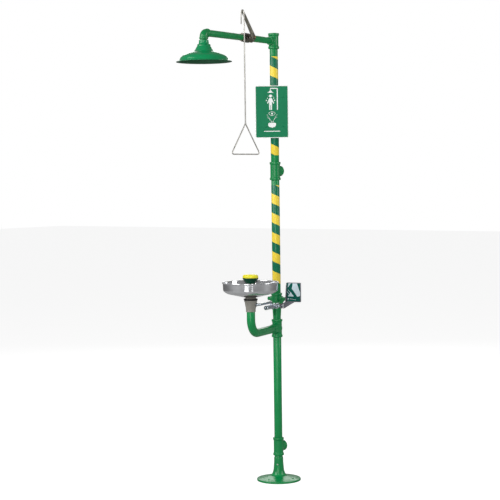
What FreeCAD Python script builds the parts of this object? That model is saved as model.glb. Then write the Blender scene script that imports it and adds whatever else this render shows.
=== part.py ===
import FreeCAD, Part
import math
import os

import Sketcher
from FreeCAD import Placement, Rotation, Vector

# Combination emergency shower and eye/face wash on one floor-mounted pole.
# Frame: +Z up, origin at the middle of the floor flange's underside, shower arm along -Y,
# supply and waste outlets along +Y, shower valve stem on the +X side. Millimetres.

os.makedirs("parts", exist_ok=True)
doc = FreeCAD.newDocument("eyewash_station")

CELLS = {
    # pole: steel pipe and the fittings on it
    "pole_radius": 21.1,
    "pole_wall": 3.6,
    "pole_body": 25.2,
    "pole_band": 28.4,
    "pole_band_width": 12.0,
    "pole_thread": 18.0,
    "tee_reach": 47.0,
    "outlet_reach": 42.0,
    "waste_height": 177.0,
    "drain_height": 799.0,
    "feed_height": 953.0,
    "supply_height": 1617.0,
    "top_height": 2287.0,
    "top_reach": 40.0,
    "slip": 0.05,
    # floor flange
    "flange_radius": 114.5,
    "flange_edge": 9.0,
    "flange_dome": 19.0,
    "flange_neck_height": 122.0,
    "flange_neck_radius": 25.6,
    "flange_floor": 14.0,
    "bolt_circle": 89.0,
    "bolt_hole": 5.75,
    "bolt_count": 4.0,
    "set_screw_height": 85.0,
    "set_screw_radius": 4.0,
    "set_screw_turn": 21.0,
    # fitting that parts the supply above from the waste below
    "feed_reach": 30.0,
    "feed_side_reach": 34.0,
    "feed_boss": 14.0,
    "feed_tail_radius": 24.0,
    "feed_tail_neck": 19.6,
    "feed_slot_height": 38.0,
    "feed_slot_width": 13.0,
    "feed_slot_middle": 886.0,
    "feed_plug_head": 15.0,
    # striped tape sleeves and sign
    "tape_thickness": 0.4,
    "lower_tape_bottom": 1030.0,
    "lower_tape_top": 1543.0,
    "upper_tape_bottom": 1698.0,
    "upper_tape_top": 2207.0,
    "sign_width": 170.0,
    "sign_height": 268.0,
    "sign_corner": 6.0,
    "sign_thickness": 2.0,
    "sign_middle": 1922.0,
    "sign_offset": 14.0,
    "sign_turn": 36.0,
    "sign_standoff": 30.0,
    "clamp_spacing": 150.0,
    "clamp_width": 18.0,
    "clamp_strap": 2.5,
    "clamp_bar": 110.0,
    "sign_screw_radius": 2.5,
    "sign_screw_head": 4.6,
    "sign_screw_spacing": 88.0,
    # shower arm
    "arm_radius": 16.7,
    "arm_wall": 3.4,
    "arm_body": 19.8,
    "arm_band": 21.8,
    "arm_band_width": 10.0,
    "arm_thread": 15.0,
    "arm_reach": 32.0,
    "arm_length": 589.0,
    "shower_valve_distance": 236.0,
    # shower head
    "rim_height": 2146.0,
    "rim_radius": 136.0,
    "skirt_radius": 121.0,
    "shoulder_radius": 109.0,
    "crown_radius": 84.0,
    "throat_radius": 38.0,
    "collar_radius": 32.5,
    "bell_height": 81.0,
    "bell_wall": 3.0,
    "hub_radius": 23.8,
    "hub_top": 105.0,
    "deflector_radius": 46.0,
    "deflector_height": 16.0,
    # pull lever and rod
    "lever_length": 154.0,
    "lever_rise": 53.0,
    "lever_thickness": 4.0,
    "lever_root_width": 14.0,
    "lever_tip_width": 8.5,
    "lever_hub": 15.0,
    "rod_radius": 3.175,
    "hook_radius": 9.0,
    "hook_leg": 55.0,
    "rod_length": 548.0,
    "handle_height": 152.0,
    "handle_width": 205.0,
    "handle_bend": 9.0,
    "handle_turn": -8.0,
    # bowl and drain
    "bowl_turn": 11.0,
    "bowl_distance": 321.0,
    "bowl_radius": 139.0,
    "bowl_rim_height": 1063.0,
    "bowl_depth": 76.0,
    "bowl_wall": 1.5,
    "bowl_bead": 2.4,
    "bowl_corner": 14.0,
    "bowl_dish_rise": 20.0,
    "bowl_outlet": 29.0,
    "gasket_radius": 35.5,
    "gasket_top": 978.5,
    "gasket_thickness": 8.0,
    "cone_top": 30.0,
    "cone_foot": 23.6,
    "cone_bottom": 913.0,
    "bend_radius": 75.0,
    "drain_reach": 58.0,
    # spray head
    "riser_radius": 10.65,
    "riser_wall": 2.6,
    "head_length": 82.0,
    "head_width": 64.0,
    "head_seat": 1065.0,
    "head_rim": 1082.0,
    "head_foot": 1039.0,
    "deck_thickness": 3.0,
    "jet_radius": 2.2,
    "jet_ring": 11.0,
    "jet_count": 6.0,
    "eye_spacing": 38.0,
    "cover_height": 19.0,
    # eyewash supply line
    "line_offset": 46.0,
    "line_height": 926.0,
    "line_radius": 10.65,
    "line_wall": 2.6,
    "line_body": 13.6,
    "line_band": 15.6,
    "line_band_width": 8.0,
    "line_thread": 11.0,
    "port_height": 949.5,
    "port_reach": 31.0,
    "port_nut": 4.5,
    "eye_valve_distance": 118.0,
    "tube_radius": 6.35,
    "tube_wall": 1.0,
    "strainer_radius": 11.3,
    "strainer_length": 90.0,
    "strainer_cap": 15.0,
    "strainer_outlet": 19.0,
    # push flag
    "flag_width": 82.0,
    "flag_height": 100.0,
    "flag_left": 106.0,
    "flag_bottom": 22.0,
    "flag_thickness": 4.0,
    "flag_rib": 18.0,
    "flag_corner": 5.0,
    "flag_hub": 12.5,
    "flag_decal_margin": 4.0,
    "flag_decal_thickness": 0.5,
}


class Size:
    """A length with the sheet expression that it comes from, so sums and products stay bound to the cells."""

    def __init__(self, value, text):
        self.value = value
        self.text = text

    def __add__(self, other):
        other = size(other)
        return Size(self.value + other.value, f"({self.text} + {other.text})")

    def __sub__(self, other):
        other = size(other)
        return Size(self.value - other.value, f"({self.text} - {other.text})")

    def __mul__(self, other):
        other = size(other)
        return Size(self.value * other.value, f"({self.text} * {other.text})")

    def __truediv__(self, other):
        other = size(other)
        return Size(self.value / other.value, f"({self.text} / {other.text})")

    def __neg__(self):
        return Size(-self.value, f"(0 - {self.text})")

    def __radd__(self, other):
        return size(other) + self

    def __rsub__(self, other):
        return size(other) - self

    def __rmul__(self, other):
        return size(other) * self


def size(number):
    """A plain number as a Size; a Size as it is."""
    return number if isinstance(number, Size) else Size(float(number), str(float(number)))


def cosine(angle):
    return Size(math.cos(math.radians(angle.value)), f"cos({angle.text})")


def sine(angle):
    return Size(math.sin(math.radians(angle.value)), f"sin({angle.text})")


class Dims:
    """The driving dimensions, one attribute per cell of the sheet."""


def fill_sheet():
    sheet = doc.addObject("Spreadsheet::Sheet", "dims")
    dims = Dims()
    for row, (alias, number) in enumerate(CELLS.items(), start=1):
        sheet.set(f"A{row}", alias)
        sheet.set(f"B{row}", str(number))
        sheet.setAlias(f"B{row}", alias)
        setattr(dims, alias, Size(number, f"dims.{alias}"))
    doc.recompute()
    return dims


d = fill_sheet()

TO_X = Rotation(Vector(0, 1, 0), 90)
TO_MINUS_X = Rotation(Vector(0, 1, 0), -90)
TO_Y = Rotation(Vector(1, 0, 0), -90)
TO_MINUS_Y = Rotation(Vector(1, 0, 0), 90)
UP = Rotation()
DOWN = Rotation(Vector(1, 0, 0), 180)
nodes = []


# ---------------------------------------------------------------- helpers


def bind(thing, prop, number):
    """Set a property from a size and keep it bound to the sheet."""
    number = size(number)
    setattr(thing, prop, number.value)
    thing.setExpression(prop, number.text)


def place(thing, x=0, y=0, z=0, turn=UP):
    """Put an object's origin at x, y, z, bound to the sheet, after turning it."""
    spot = [size(x), size(y), size(z)]
    thing.Placement = Placement(Vector(*[s.value for s in spot]), turn)
    for axis, number in zip("xyz", spot):
        thing.setExpression(f"Placement.Base.{axis}", number.text)
    return thing


def about_pole(thing, x, y, z, angle, turn=UP):
    """Put an object at x, y, z of a frame that is turned about the pole by an angle."""
    swing = Rotation(Vector(0, 0, 1), angle.value)
    east = x * cosine(angle) - y * sine(angle)
    north = x * sine(angle) + y * cosine(angle)
    return place(thing, east, north, z, swing * turn)


def bowl_side(thing, x=0, y=0, z=0, turn=UP):
    """Place in the eyewash frame: -Y runs from the pole to the bowl, X across it."""
    return about_pole(thing, size(x), size(y), z, d.bowl_turn, turn)


def keep(label, thing):
    """Name a finished sub-part; its label names its file."""
    thing.Label = label
    nodes.append(thing)
    return thing


def cylinder(radius, height, x=0, y=0, z=0, turn=UP):
    made = doc.addObject("Part::Cylinder", "Cylinder")
    bind(made, "Radius", radius)
    bind(made, "Height", height)
    return place(made, x, y, z, turn)


def box(length, width, height, x=0, y=0, z=0, turn=UP):
    """A box centred on x and y, standing on z."""
    made = doc.addObject("Part::Box", "Box")
    bind(made, "Length", length)
    bind(made, "Width", width)
    bind(made, "Height", height)
    return place(made, size(x) - size(length) / 2, size(y) - size(width) / 2, z, turn)


def ball(radius, x=0, y=0, z=0):
    made = doc.addObject("Part::Sphere", "Sphere")
    bind(made, "Radius", radius)
    return place(made, x, y, z)


def hexagon(across_corners, height, x=0, y=0, z=0, turn=UP):
    made = doc.addObject("Part::Prism", "Prism")
    made.Polygon = 6
    bind(made, "Circumradius", across_corners / 2)
    bind(made, "Height", height)
    return place(made, x, y, z, turn)


def fuse(*things):
    made = doc.addObject("Part::MultiFuse", "Fuse")
    made.Shapes = list(things)
    made.Refine = True
    return made


def cut(base, *tools):
    made = doc.addObject("Part::Cut", "Cut")
    made.Base = base
    made.Tool = tools[0] if len(tools) == 1 else fuse(*tools)
    made.Refine = True
    return made


def rounded_plate(length, thickness, height, corner):
    """An upright plate with rounded corners, centred on x and y, standing on z = 0."""
    sheet = box(length, thickness, height)
    doc.recompute()
    made = doc.addObject("Part::Fillet", "Plate")
    made.Base = sheet
    made.Edges = [
        (i + 1, corner.value, corner.value)
        for i, edge in enumerate(sheet.Shape.Edges)
        if abs(edge.Length - size(thickness).value) < 0.01
    ]
    return made


def group(*things):
    """Separate solids that share one node, such as identical screws."""
    made = doc.addObject("Part::Compound", "Group")
    made.Links = list(things)
    return made


def plane_of(body, role):
    return next(f for f in body.Origin.OriginFeatures if f.Role == role)


def sketch_on(body, role, lift=0):
    """An empty sketch on one of a body's own origin planes, lifted off it along its normal."""
    made = body.newObject("Sketcher::SketchObject", "Sketch")
    made.AttachmentSupport = (plane_of(body, role), "")
    made.MapMode = "FlatFace"
    made.AttachmentOffset = Placement(Vector(0, 0, size(lift).value), Rotation())
    if isinstance(lift, Size):
        made.setExpression("AttachmentOffset.Base.z", lift.text)
    return made


def arc_centre(start, end, radius):
    """Centre of the short arc from start to end: on the left of the way for a positive radius, else the right."""
    way = end - start
    height = math.sqrt(max(radius * radius - way.Length**2 / 4, 0))
    side = Vector(-way.y, way.x, 0).normalize() * math.copysign(height, radius)
    return (start + end) / 2 + side


def pin(sketch, geometry, point, corner):
    """Tie a vertex to its two sizes, measured from the sketch's origin."""
    for kind, axis, number in (("DistanceX", -2, corner[0]), ("DistanceY", -1, corner[1])):
        number = size(number)
        if number.value == 0:
            sketch.addConstraint(Sketcher.Constraint("PointOnObject", geometry, point, axis))
        elif number.value > 0:
            index = sketch.addConstraint(
                Sketcher.Constraint(kind, -1, 1, geometry, point, number.value)
            )
            sketch.setExpression(f"Constraints[{index}]", number.text)
        else:
            index = sketch.addConstraint(
                Sketcher.Constraint(kind, geometry, point, -1, 1, -number.value)
            )
            sketch.setExpression(f"Constraints[{index}]", (-number).text)


def draw(sketch, corners, closed=True):
    """Draw an outline. A corner is (x, y), or (x, y, radius) where an arc of that radius leads to it."""
    spots = [Vector(size(c[0]).value, size(c[1]).value, 0) for c in corners]
    count = len(corners) if closed else len(corners) - 1
    ends = []
    for i in range(count):
        here, there = spots[i], spots[(i + 1) % len(spots)]
        target = corners[(i + 1) % len(corners)]
        if len(target) == 2:
            sketch.addGeometry(Part.LineSegment(here, there), False)
            ends.append((1, 2))
            continue
        radius = size(target[2])
        middle = arc_centre(here, there, radius.value)
        first, last = (here, there) if radius.value > 0 else (there, here)
        angles = [math.atan2(p.y - middle.y, p.x - middle.x) for p in (first, last)]
        circle = Part.Circle(middle, Vector(0, 0, 1), abs(radius.value))
        arc = sketch.addGeometry(Part.ArcOfCircle(circle, *angles), False)
        ends.append((1, 2) if radius.value > 0 else (2, 1))
        index = sketch.addConstraint(Sketcher.Constraint("Radius", arc, abs(radius.value)))
        sketch.setExpression(f"Constraints[{index}]", (radius if radius.value > 0 else -radius).text)
    for i in range(count if closed else count - 1):
        follower = (i + 1) % count
        sketch.addConstraint(
            Sketcher.Constraint("Coincident", i, ends[i][1], follower, ends[follower][0])
        )
    for i in range(count):
        pin(sketch, i, ends[i][0], corners[i])
    if not closed:
        pin(sketch, count - 1, ends[-1][1], corners[-1])
    return sketch


def new_body():
    return doc.addObject("PartDesign::Body", "Body")


def turned(outline):
    """A lathe-turned body: the outline gives radius and height."""
    body = new_body()
    feature = body.newObject("PartDesign::Revolution", "Turned")
    profile = draw(sketch_on(body, "XZ_Plane"), outline)
    feature.Profile = profile
    feature.ReferenceAxis = (profile, ["V_Axis"])
    feature.Angle = 360
    return body


def padded(role, outline, thickness, middle=True):
    """A plate cut to an outline on one of the origin planes."""
    body = new_body()
    feature = body.newObject("PartDesign::Pad", "Plate")
    feature.Profile = draw(sketch_on(body, role), outline)
    feature.SideType = "Symmetric" if middle else "One side"
    bind(feature, "Length", thickness)
    return body


def bent_pipe(route, outer, inner, start_role, route_role):
    """A pipe swept along a route that is drawn from the body's origin."""
    body = new_body()
    path = draw(sketch_on(body, route_role), route, closed=False)
    ring = sketch_on(body, start_role)
    for radius in (outer, inner):
        circle = ring.addGeometry(Part.Circle(Vector(), Vector(0, 0, 1), radius.value), False)
        ring.addConstraint(Sketcher.Constraint("Coincident", circle, 3, -1, 1))
        index = ring.addConstraint(Sketcher.Constraint("Radius", circle, radius.value))
        ring.setExpression(f"Constraints[{index}]", radius.text)
    feature = body.newObject("PartDesign::AdditivePipe", "Pipe")
    feature.Profile = ring
    feature.Spine = (path, [f"Edge{i + 1}" for i in range(len(route) - 1)])
    return body


def tube(outer, inner, height, x=0, y=0, z=0, turn=UP):
    """A straight tube whose end is at x, y, z."""
    return place(cut(cylinder(outer, height), cylinder(inner, height)), x, y, z, turn)


class Line:
    """Sizes of one pipe size's fittings."""

    def __init__(self, prefix):
        self.pipe = getattr(d, prefix + "_radius")
        self.bore = self.pipe - getattr(d, prefix + "_wall")
        self.body = getattr(d, prefix + "_body")
        self.band = getattr(d, prefix + "_band")
        self.band_width = getattr(d, prefix + "_band_width")
        self.thread = getattr(d, prefix + "_thread")
        self.socket = self.pipe + d.slip


POLE = Line("pole")
ARM = Line("arm")
TUBE = Line("line")


def leg(line, reach, turn):
    """One limb of a cast fitting, solid, from the fitting's middle to a banded end."""
    slope = (line.band - line.body) * 1.2
    outline = [
        (0, 0),
        (line.body, 0),
        (line.body, reach - line.band_width - slope),
        (line.band, reach - line.band_width),
        (line.band, reach - 1.5),
        (line.band - 1.5, reach),
        (0, reach),
    ]
    return place(turned(outline), turn=turn)


def drilling(line, reach, turn):
    """What is bored out of one limb: the waterway and the threaded socket."""
    socket = cylinder(line.socket, line.thread, z=reach - line.thread)
    waterway = cylinder(line.bore, reach - line.thread + 1)
    return place(fuse(waterway, socket), turn=turn)


def fitting(limbs, *extras):
    """A cast fitting with a limb for each (line, reach, turn), bored through."""
    solid = fuse(*[leg(*limb) for limb in limbs], *extras)
    return cut(solid, *[drilling(*limb) for limb in limbs])


# ---------------------------------------------------------------- pole


def floor_flange():
    neck = d.flange_neck_radius
    bore = d.pole_radius + d.slip
    outline = [
        (0, 6),
        (46, 6),
        (50, 0),
        (d.flange_radius, 0),
        (d.flange_radius, d.flange_edge - 3),
        (d.flange_radius - 3, d.flange_edge, 3),
        (60, d.flange_dome, 320),
        (neck + 11, d.flange_dome + 6),
        (neck + 1.5, d.flange_dome + 27, -24),
        (neck - 2, d.flange_neck_height - 3),
        (neck - 4.2, d.flange_neck_height, 4),
        (bore, d.flange_neck_height),
        (bore, d.flange_floor),
        (0, d.flange_floor),
    ]
    body = turned(outline)
    doc.recompute()
    before = body.Shape.Volume
    holes = sketch_on(body, "XY_Plane")
    circle = holes.addGeometry(
        Part.Circle(Vector(d.bolt_circle.value, 0, 0), Vector(0, 0, 1), d.bolt_hole.value), False
    )
    pin(holes, circle, 3, (d.bolt_circle, 0))
    index = holes.addConstraint(Sketcher.Constraint("Radius", circle, d.bolt_hole.value))
    holes.setExpression(f"Constraints[{index}]", d.bolt_hole.text)
    pocket = body.newObject("PartDesign::Pocket", "BoltHole")
    pocket.Profile = holes
    pocket.Type = "ThroughAll"
    pocket.Reversed = True
    ring = body.newObject("PartDesign::PolarPattern", "BoltCircle")
    ring.Originals = [pocket]
    ring.Axis = (holes, ["N_Axis"])
    ring.Angle = 360
    ring.Occurrences = int(d.bolt_count.value)
    ring.setExpression("Occurrences", d.bolt_count.text)
    body.Tip = ring
    doc.recompute()
    assert body.Shape.Volume < before - 1000, "the bolt holes cut nothing"
    turn = Rotation(Vector(0, 0, 1), d.set_screw_turn.value) * TO_MINUS_Y
    screw_hole = cylinder(d.set_screw_radius + d.slip, 40, z=d.set_screw_height, turn=turn)
    keep("floor_flange", cut(body, screw_hole))


def flange_set_screw():
    length = 8.5
    screw = cut(
        cylinder(d.set_screw_radius, length),
        hexagon(d.set_screw_radius * 1.2, 4, z=length - 3.5),
    )
    start = d.pole_radius + 0.1
    turn = Rotation(Vector(0, 0, 1), d.set_screw_turn.value)
    across = start * sine(d.set_screw_turn)
    out = -(start * cosine(d.set_screw_turn))
    keep("flange_set_screw", place(screw, across, out, d.set_screw_height, turn * TO_MINUS_Y))


def pole_pipe(label, bottom, top):
    keep(label, tube(POLE.pipe, POLE.bore, top - bottom, z=bottom))


def pole_tees():
    """The waste and supply tees open to the back; the drain tee takes the waste pipe from the bowl."""
    for label, height in (("waste_tee", d.waste_height), ("supply_tee", d.supply_height)):
        limbs = [
            (POLE, d.tee_reach, UP),
            (POLE, d.tee_reach, DOWN),
            (POLE, d.outlet_reach, TO_Y),
        ]
        keep(label, place(fitting(limbs), z=height))
    flare = [
        (0, 0),
        (POLE.body + 4, 0),
        (POLE.body + 4, 22),
        (POLE.pipe + 3, d.drain_reach - 10, -60),
        (POLE.pipe + 3, d.drain_reach),
        (0, d.drain_reach),
    ]
    branch = place(turned(flare), turn=TO_MINUS_Y)
    run = fuse(leg(POLE, d.tee_reach, UP), leg(POLE, d.tee_reach, DOWN), branch)
    tee = cut(
        run,
        drilling(POLE, d.tee_reach, UP),
        drilling(POLE, d.tee_reach, DOWN),
        drilling(POLE, d.drain_reach, TO_MINUS_Y),
    )
    keep("drain_tee", bowl_side(tee, z=d.drain_height))


def feed_fitting():
    """Body with a tapered tail: riser above, blanking disc, waste below, two side ports for the eyewash."""
    start = d.drain_height + d.tee_reach - POLE.thread
    tail_height = d.feed_height - d.feed_reach - start
    tail = [
        (0, 0),
        (POLE.pipe, 0),
        (POLE.pipe, POLE.thread),
        (d.feed_tail_neck, POLE.thread + 2),
        (d.feed_tail_radius, tail_height),
        (0, tail_height),
    ]
    solid = fuse(
        leg(POLE, d.feed_reach, UP),
        leg(POLE, d.feed_reach, DOWN),
        place(turned(tail), z=start - d.feed_height),
        cylinder(d.feed_boss, d.feed_side_reach, turn=TO_X),
        cylinder(d.feed_boss, d.feed_side_reach, turn=TO_MINUS_X),
    )
    shelf = 5
    tail_bore = d.feed_tail_neck - d.pole_wall * 2
    slot_radius = d.feed_slot_width / 2
    slot_rise = d.feed_slot_height / 2 - slot_radius
    slot_floor = tail_bore + 2.6
    slot_middle = d.feed_slot_middle - d.feed_height
    slot_depth = d.feed_tail_radius
    body = cut(
        solid,
        cylinder(slot_radius, slot_depth, y=-slot_floor, z=slot_middle + slot_rise, turn=TO_MINUS_Y),
        cylinder(slot_radius, slot_depth, y=-slot_floor, z=slot_middle - slot_rise, turn=TO_MINUS_Y),
        box(
            d.feed_slot_width,
            slot_depth,
            slot_rise * 2,
            y=-(slot_floor + slot_depth / 2),
            z=slot_middle - slot_rise,
        ),
        drilling(POLE, d.feed_reach, UP),
        cylinder(tail_bore, tail_height + d.feed_reach - shelf, z=start - d.feed_height),
        cylinder(TUBE.socket, d.feed_side_reach, turn=TO_X),
        cylinder(TUBE.socket, d.feed_side_reach, turn=TO_MINUS_X),
    )
    keep("feed_fitting", bowl_side(body, z=d.feed_height))
    disc = cylinder(tail_bore, 4, z=-shelf - 4)
    keep("blanking_disc", bowl_side(disc, z=d.feed_height))
    plug = fuse(
        cylinder(TUBE.pipe, d.feed_side_reach - POLE.bore, x=-POLE.bore, turn=TO_MINUS_X),
        hexagon(TUBE.pipe * 1.9, d.feed_plug_head, x=-d.feed_side_reach, turn=TO_MINUS_X),
    )
    keep("feed_plug", bowl_side(plug, z=d.feed_height))


def top_of_pole():
    limbs = [
        (POLE, d.top_reach, UP),
        (POLE, d.top_reach, DOWN),
        (ARM, d.top_reach, TO_MINUS_Y),
    ]
    keep("top_tee", place(fitting(limbs), z=d.top_height))
    plug_bottom = d.top_height + d.top_reach - POLE.thread
    recess = box(16, 16, 12, z=POLE.thread - 9)
    keep("top_plug", place(cut(cylinder(POLE.pipe, POLE.thread - 2), recess), z=plug_bottom))


def tape(label, bottom, top):
    outer = POLE.pipe + d.tape_thickness
    keep(label, tube(outer, POLE.pipe, top - bottom, z=bottom))


def build_pole():
    floor_flange()
    flange_set_screw()
    pole_tees()
    feed_fitting()
    top_of_pole()
    engaged = d.tee_reach - POLE.thread
    pole_pipe("base_pipe", d.flange_floor, d.waste_height - engaged)
    pole_pipe("lower_pole_pipe", d.waste_height + engaged, d.drain_height - engaged)
    feed_top = d.feed_height + d.feed_reach - POLE.thread
    pole_pipe("lower_riser", feed_top, d.supply_height - engaged)
    top_bottom = d.top_height - d.top_reach + POLE.thread
    pole_pipe("upper_riser", d.supply_height + engaged, top_bottom)
    tape("lower_tape", d.lower_tape_bottom, d.lower_tape_top)
    tape("upper_tape", d.upper_tape_bottom, d.upper_tape_top)


# ---------------------------------------------------------------- sign


def build_sign():
    def sign_side(thing, x=0, y=0, z=0, turn=UP):
        return about_pole(thing, size(x), size(y), size(z), d.sign_turn, turn)

    plate = rounded_plate(d.sign_width, d.sign_thickness, d.sign_height, d.sign_corner)
    front = -(d.sign_standoff + d.sign_thickness / 2)
    spacing = d.clamp_spacing / 2
    screw_holes = [
        cylinder(
            d.sign_screw_radius + 0.2,
            d.sign_thickness + 4,
            d.sign_offset + side * (d.sign_screw_spacing / 2),
            d.sign_thickness / 2 + 2,
            d.sign_height / 2 + level * spacing,
            TO_MINUS_Y,
        )
        for side in (-1, 1)
        for level in (-1, 1)
    ]
    bottom = d.sign_middle - d.sign_height / 2
    keep("sign_plate", sign_side(cut(plate, *screw_holes), -d.sign_offset, front, bottom))

    inner = POLE.pipe + d.tape_thickness + d.slip
    depth = d.sign_standoff - 3
    clamps = []
    for level in (-1, 1):
        strap = cylinder(inner + d.clamp_strap, d.clamp_width)
        bar = box(d.clamp_bar, 3, d.clamp_width, y=-(depth + 1.5))
        saddle = box(26, depth, d.clamp_width, y=-depth / 2)
        holes = [
            cylinder(
                d.sign_screw_radius + d.slip,
                8,
                side * (d.sign_screw_spacing / 2),
                -depth + 3,
                d.clamp_width / 2,
                TO_MINUS_Y,
            )
            for side in (-1, 1)
        ]
        solid = cut(fuse(strap, bar, saddle), cylinder(inner, d.clamp_width), *holes)
        bottom = d.sign_middle + level * spacing - d.clamp_width / 2
        clamps.append(sign_side(solid, z=bottom))
    keep("sign_clamps", group(*clamps))

    screws = []
    for side in (-1, 1):
        for level in (-1, 1):
            shank = cylinder(d.sign_screw_radius, d.sign_thickness + 6)
            head = [
                (0, 0),
                (d.sign_screw_head, 0),
                (d.sign_screw_head * 0.55, 2.6, 4),
                (0, 2.6),
            ]
            screw = fuse(shank, place(turned(head), z=d.sign_thickness + 6))
            across = side * (d.sign_screw_spacing / 2)
            height = d.sign_middle + level * spacing
            start = -(d.sign_standoff + d.sign_thickness) + d.sign_thickness + 6
            screws.append(sign_side(screw, across, start, height, TO_MINUS_Y))
    keep("sign_screws", group(*screws))


# ---------------------------------------------------------------- ball valves


class Valve:
    """Sizes of a stay-open ball valve, in proportion to the pipe it serves."""

    def __init__(self, line, half, barrel, stem, boss_reach, stem_reach):
        self.line = line
        self.half = size(half)
        self.barrel = size(barrel)
        self.stem = size(stem)
        self.boss_reach = size(boss_reach)
        self.stem_reach = size(stem_reach)
        self.bore = line.bore - 1
        self.ball = line.bore * 1.32
        self.cavity = self.ball + 0.8
        self.shoulder = self.ball + 2.5
        self.hex = line.socket * 2.62


SHOWER_VALVE = Valve(ARM, half=46, barrel=24.5, stem=5.0, boss_reach=33, stem_reach=54)
EYE_VALVE = Valve(TUBE, half=31, barrel=15.5, stem=4.0, boss_reach=19, stem_reach=38)
GAP = 0.3


def ball_valve(prefix, v, seat_in_frame):
    """Body, screwed end, ball, two seats, stem and packing nut. Flow along Y, stem along X, shown closed."""
    body = fuse(
        cylinder(v.barrel, v.shoulder * 2 + 4, y=-(v.shoulder + 2), turn=TO_Y),
        hexagon(v.hex, v.half - v.shoulder, y=v.shoulder, turn=TO_Y),
        cylinder(v.stem * 2.1, v.boss_reach, turn=TO_X),
    )
    socket_start = v.half - v.line.thread
    hollow = [
        cylinder(v.cavity, v.shoulder * 2 + 2, y=-(v.shoulder + 2), turn=TO_Y),
        cylinder(v.bore, v.half, turn=TO_Y),
        cylinder(v.line.socket, v.line.thread, y=socket_start, turn=TO_Y),
        cylinder(v.stem + GAP, v.boss_reach, turn=TO_X),
    ]
    keep(prefix + "_valve_body", seat_in_frame(cut(body, *hollow)))

    end = fuse(
        hexagon(v.hex, v.half - v.shoulder - 2, y=-(v.shoulder + 2), turn=TO_MINUS_Y),
        cylinder(v.cavity - d.slip, 2, y=-v.shoulder, turn=TO_MINUS_Y),
    )
    end_hollow = [
        cylinder(v.bore, v.half, turn=TO_MINUS_Y),
        cylinder(v.line.socket, v.line.thread, y=-socket_start, turn=TO_MINUS_Y),
    ]
    keep(prefix + "_valve_end", seat_in_frame(cut(end, *end_hollow)))

    slot = box(v.stem + 1, v.stem, v.ball * 1.3, x=v.ball - v.stem / 2 + 0.2, z=-(v.ball * 0.65))
    sphere = cut(ball(v.ball), cylinder(v.bore, v.ball * 2, z=-v.ball), slot)
    keep(prefix + "_valve_ball", seat_in_frame(sphere))

    seats = []
    for turn in (TO_Y, TO_MINUS_Y):
        ring = cut(
            cylinder(v.cavity - d.slip, v.shoulder - v.ball * 0.72, z=v.ball * 0.72),
            cylinder(v.bore, v.shoulder),
            ball(v.ball + GAP),
        )
        seats.append(place(ring, turn=turn))
    keep(prefix + "_valve_seats", seat_in_frame(group(*seats)))

    tang_length = v.stem + 1
    tang = box(tang_length, v.stem - 0.8, v.stem * 1.6, x=v.ball + 1 - tang_length / 2, z=-(v.stem * 0.8))
    stem = fuse(cylinder(v.stem, v.stem_reach - v.ball - 0.6, x=v.ball + 0.6, turn=TO_X), tang)
    keep(prefix + "_valve_stem", seat_in_frame(stem))

    packing = cut(
        hexagon(v.stem * 4.4, v.stem * 1.5, x=v.boss_reach, turn=TO_X),
        cylinder(v.stem + GAP, v.stem * 1.5, x=v.boss_reach, turn=TO_X),
    )
    keep(prefix + "_packing_nut", seat_in_frame(packing))


def stem_nut(prefix, v, start, seat_in_frame):
    nut = cut(
        hexagon(v.stem * 3.6, v.stem * 1.2, x=start, turn=TO_X),
        cylinder(v.stem, v.stem * 1.2, x=start, turn=TO_X),
    )
    keep(prefix + "_nut", seat_in_frame(nut))


# ---------------------------------------------------------------- shower


def at_shower_valve(thing):
    holder = group(thing)
    return place(holder, y=-d.shower_valve_distance, z=d.top_height)


def shower_lever():
    """Flat forged lever, tapered to its tip, with the hole that the pull rod hooks into."""
    v = SHOWER_VALVE
    start = v.boss_reach + v.stem * 1.5 + 1.5
    root, tip = d.lever_root_width, d.lever_tip_width
    body = new_body()
    plate = body.newObject("PartDesign::Pad", "Lever")
    neck = 10
    outline = [
        (neck, -root),
        (d.lever_length, -tip),
        (d.lever_length, tip),
        (neck, root),
    ]
    plate.Profile = draw(sketch_on(body, "XY_Plane"), outline)
    bind(plate, "Length", d.lever_thickness)
    solid = cut(
        fuse(
            body,
            cylinder(d.lever_hub, d.lever_thickness),
            cylinder(tip, d.lever_thickness, x=d.lever_length),
        ),
        cylinder(v.stem, d.lever_thickness),
        cylinder(d.rod_radius + 0.6, d.lever_thickness, x=d.lever_length),
    )
    rise = math.radians(d.lever_rise.value)
    along = Vector(0, -math.cos(rise), math.sin(rise))
    turn = Rotation(along, Vector(), Vector(1, 0, 0), "ZXY")
    keep("shower_lever", at_shower_valve(place(solid, x=start, turn=turn)))
    stem_nut("lever", v, start + d.lever_thickness, at_shower_valve)
    return start


def bent_wire(route, bends):
    """Straight runs joined by tangent arcs, one bend radius for each inner corner."""
    edges = []
    start = route[0]
    for i, bend in enumerate(bends, start=1):
        before = (route[i] - route[i - 1]).normalize()
        after = (route[i + 1] - route[i]).normalize()
        turn = before.getAngle(after)
        back = bend * math.tan(turn / 2)
        entry, leave = route[i] - before * back, route[i] + after * back
        middle = route[i] + (after - before).normalize() * (bend / math.cos(turn / 2) - bend)
        if (entry - start).Length > 0.01:
            edges.append(Part.makeLine(start, entry))
        edges.append(Part.Arc(entry, middle, leave).toShape())
        start = leave
    if (route[-1] - start).Length > 0.01:
        edges.append(Part.makeLine(start, route[-1]))
    return Part.Wire(edges)


def bar_along(route, bends, radius):
    """Round bar bent in space along a route."""
    wire = bent_wire(route, bends)
    along = (route[1] - route[0]).normalize()
    circle = Part.Wire(Part.makeCircle(radius, route[0], along))
    return wire.makePipeShell([circle], True, False)


def shaped(shape):
    made = doc.addObject("Part::Feature", "Bent")
    made.Shape = shape
    return made


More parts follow.
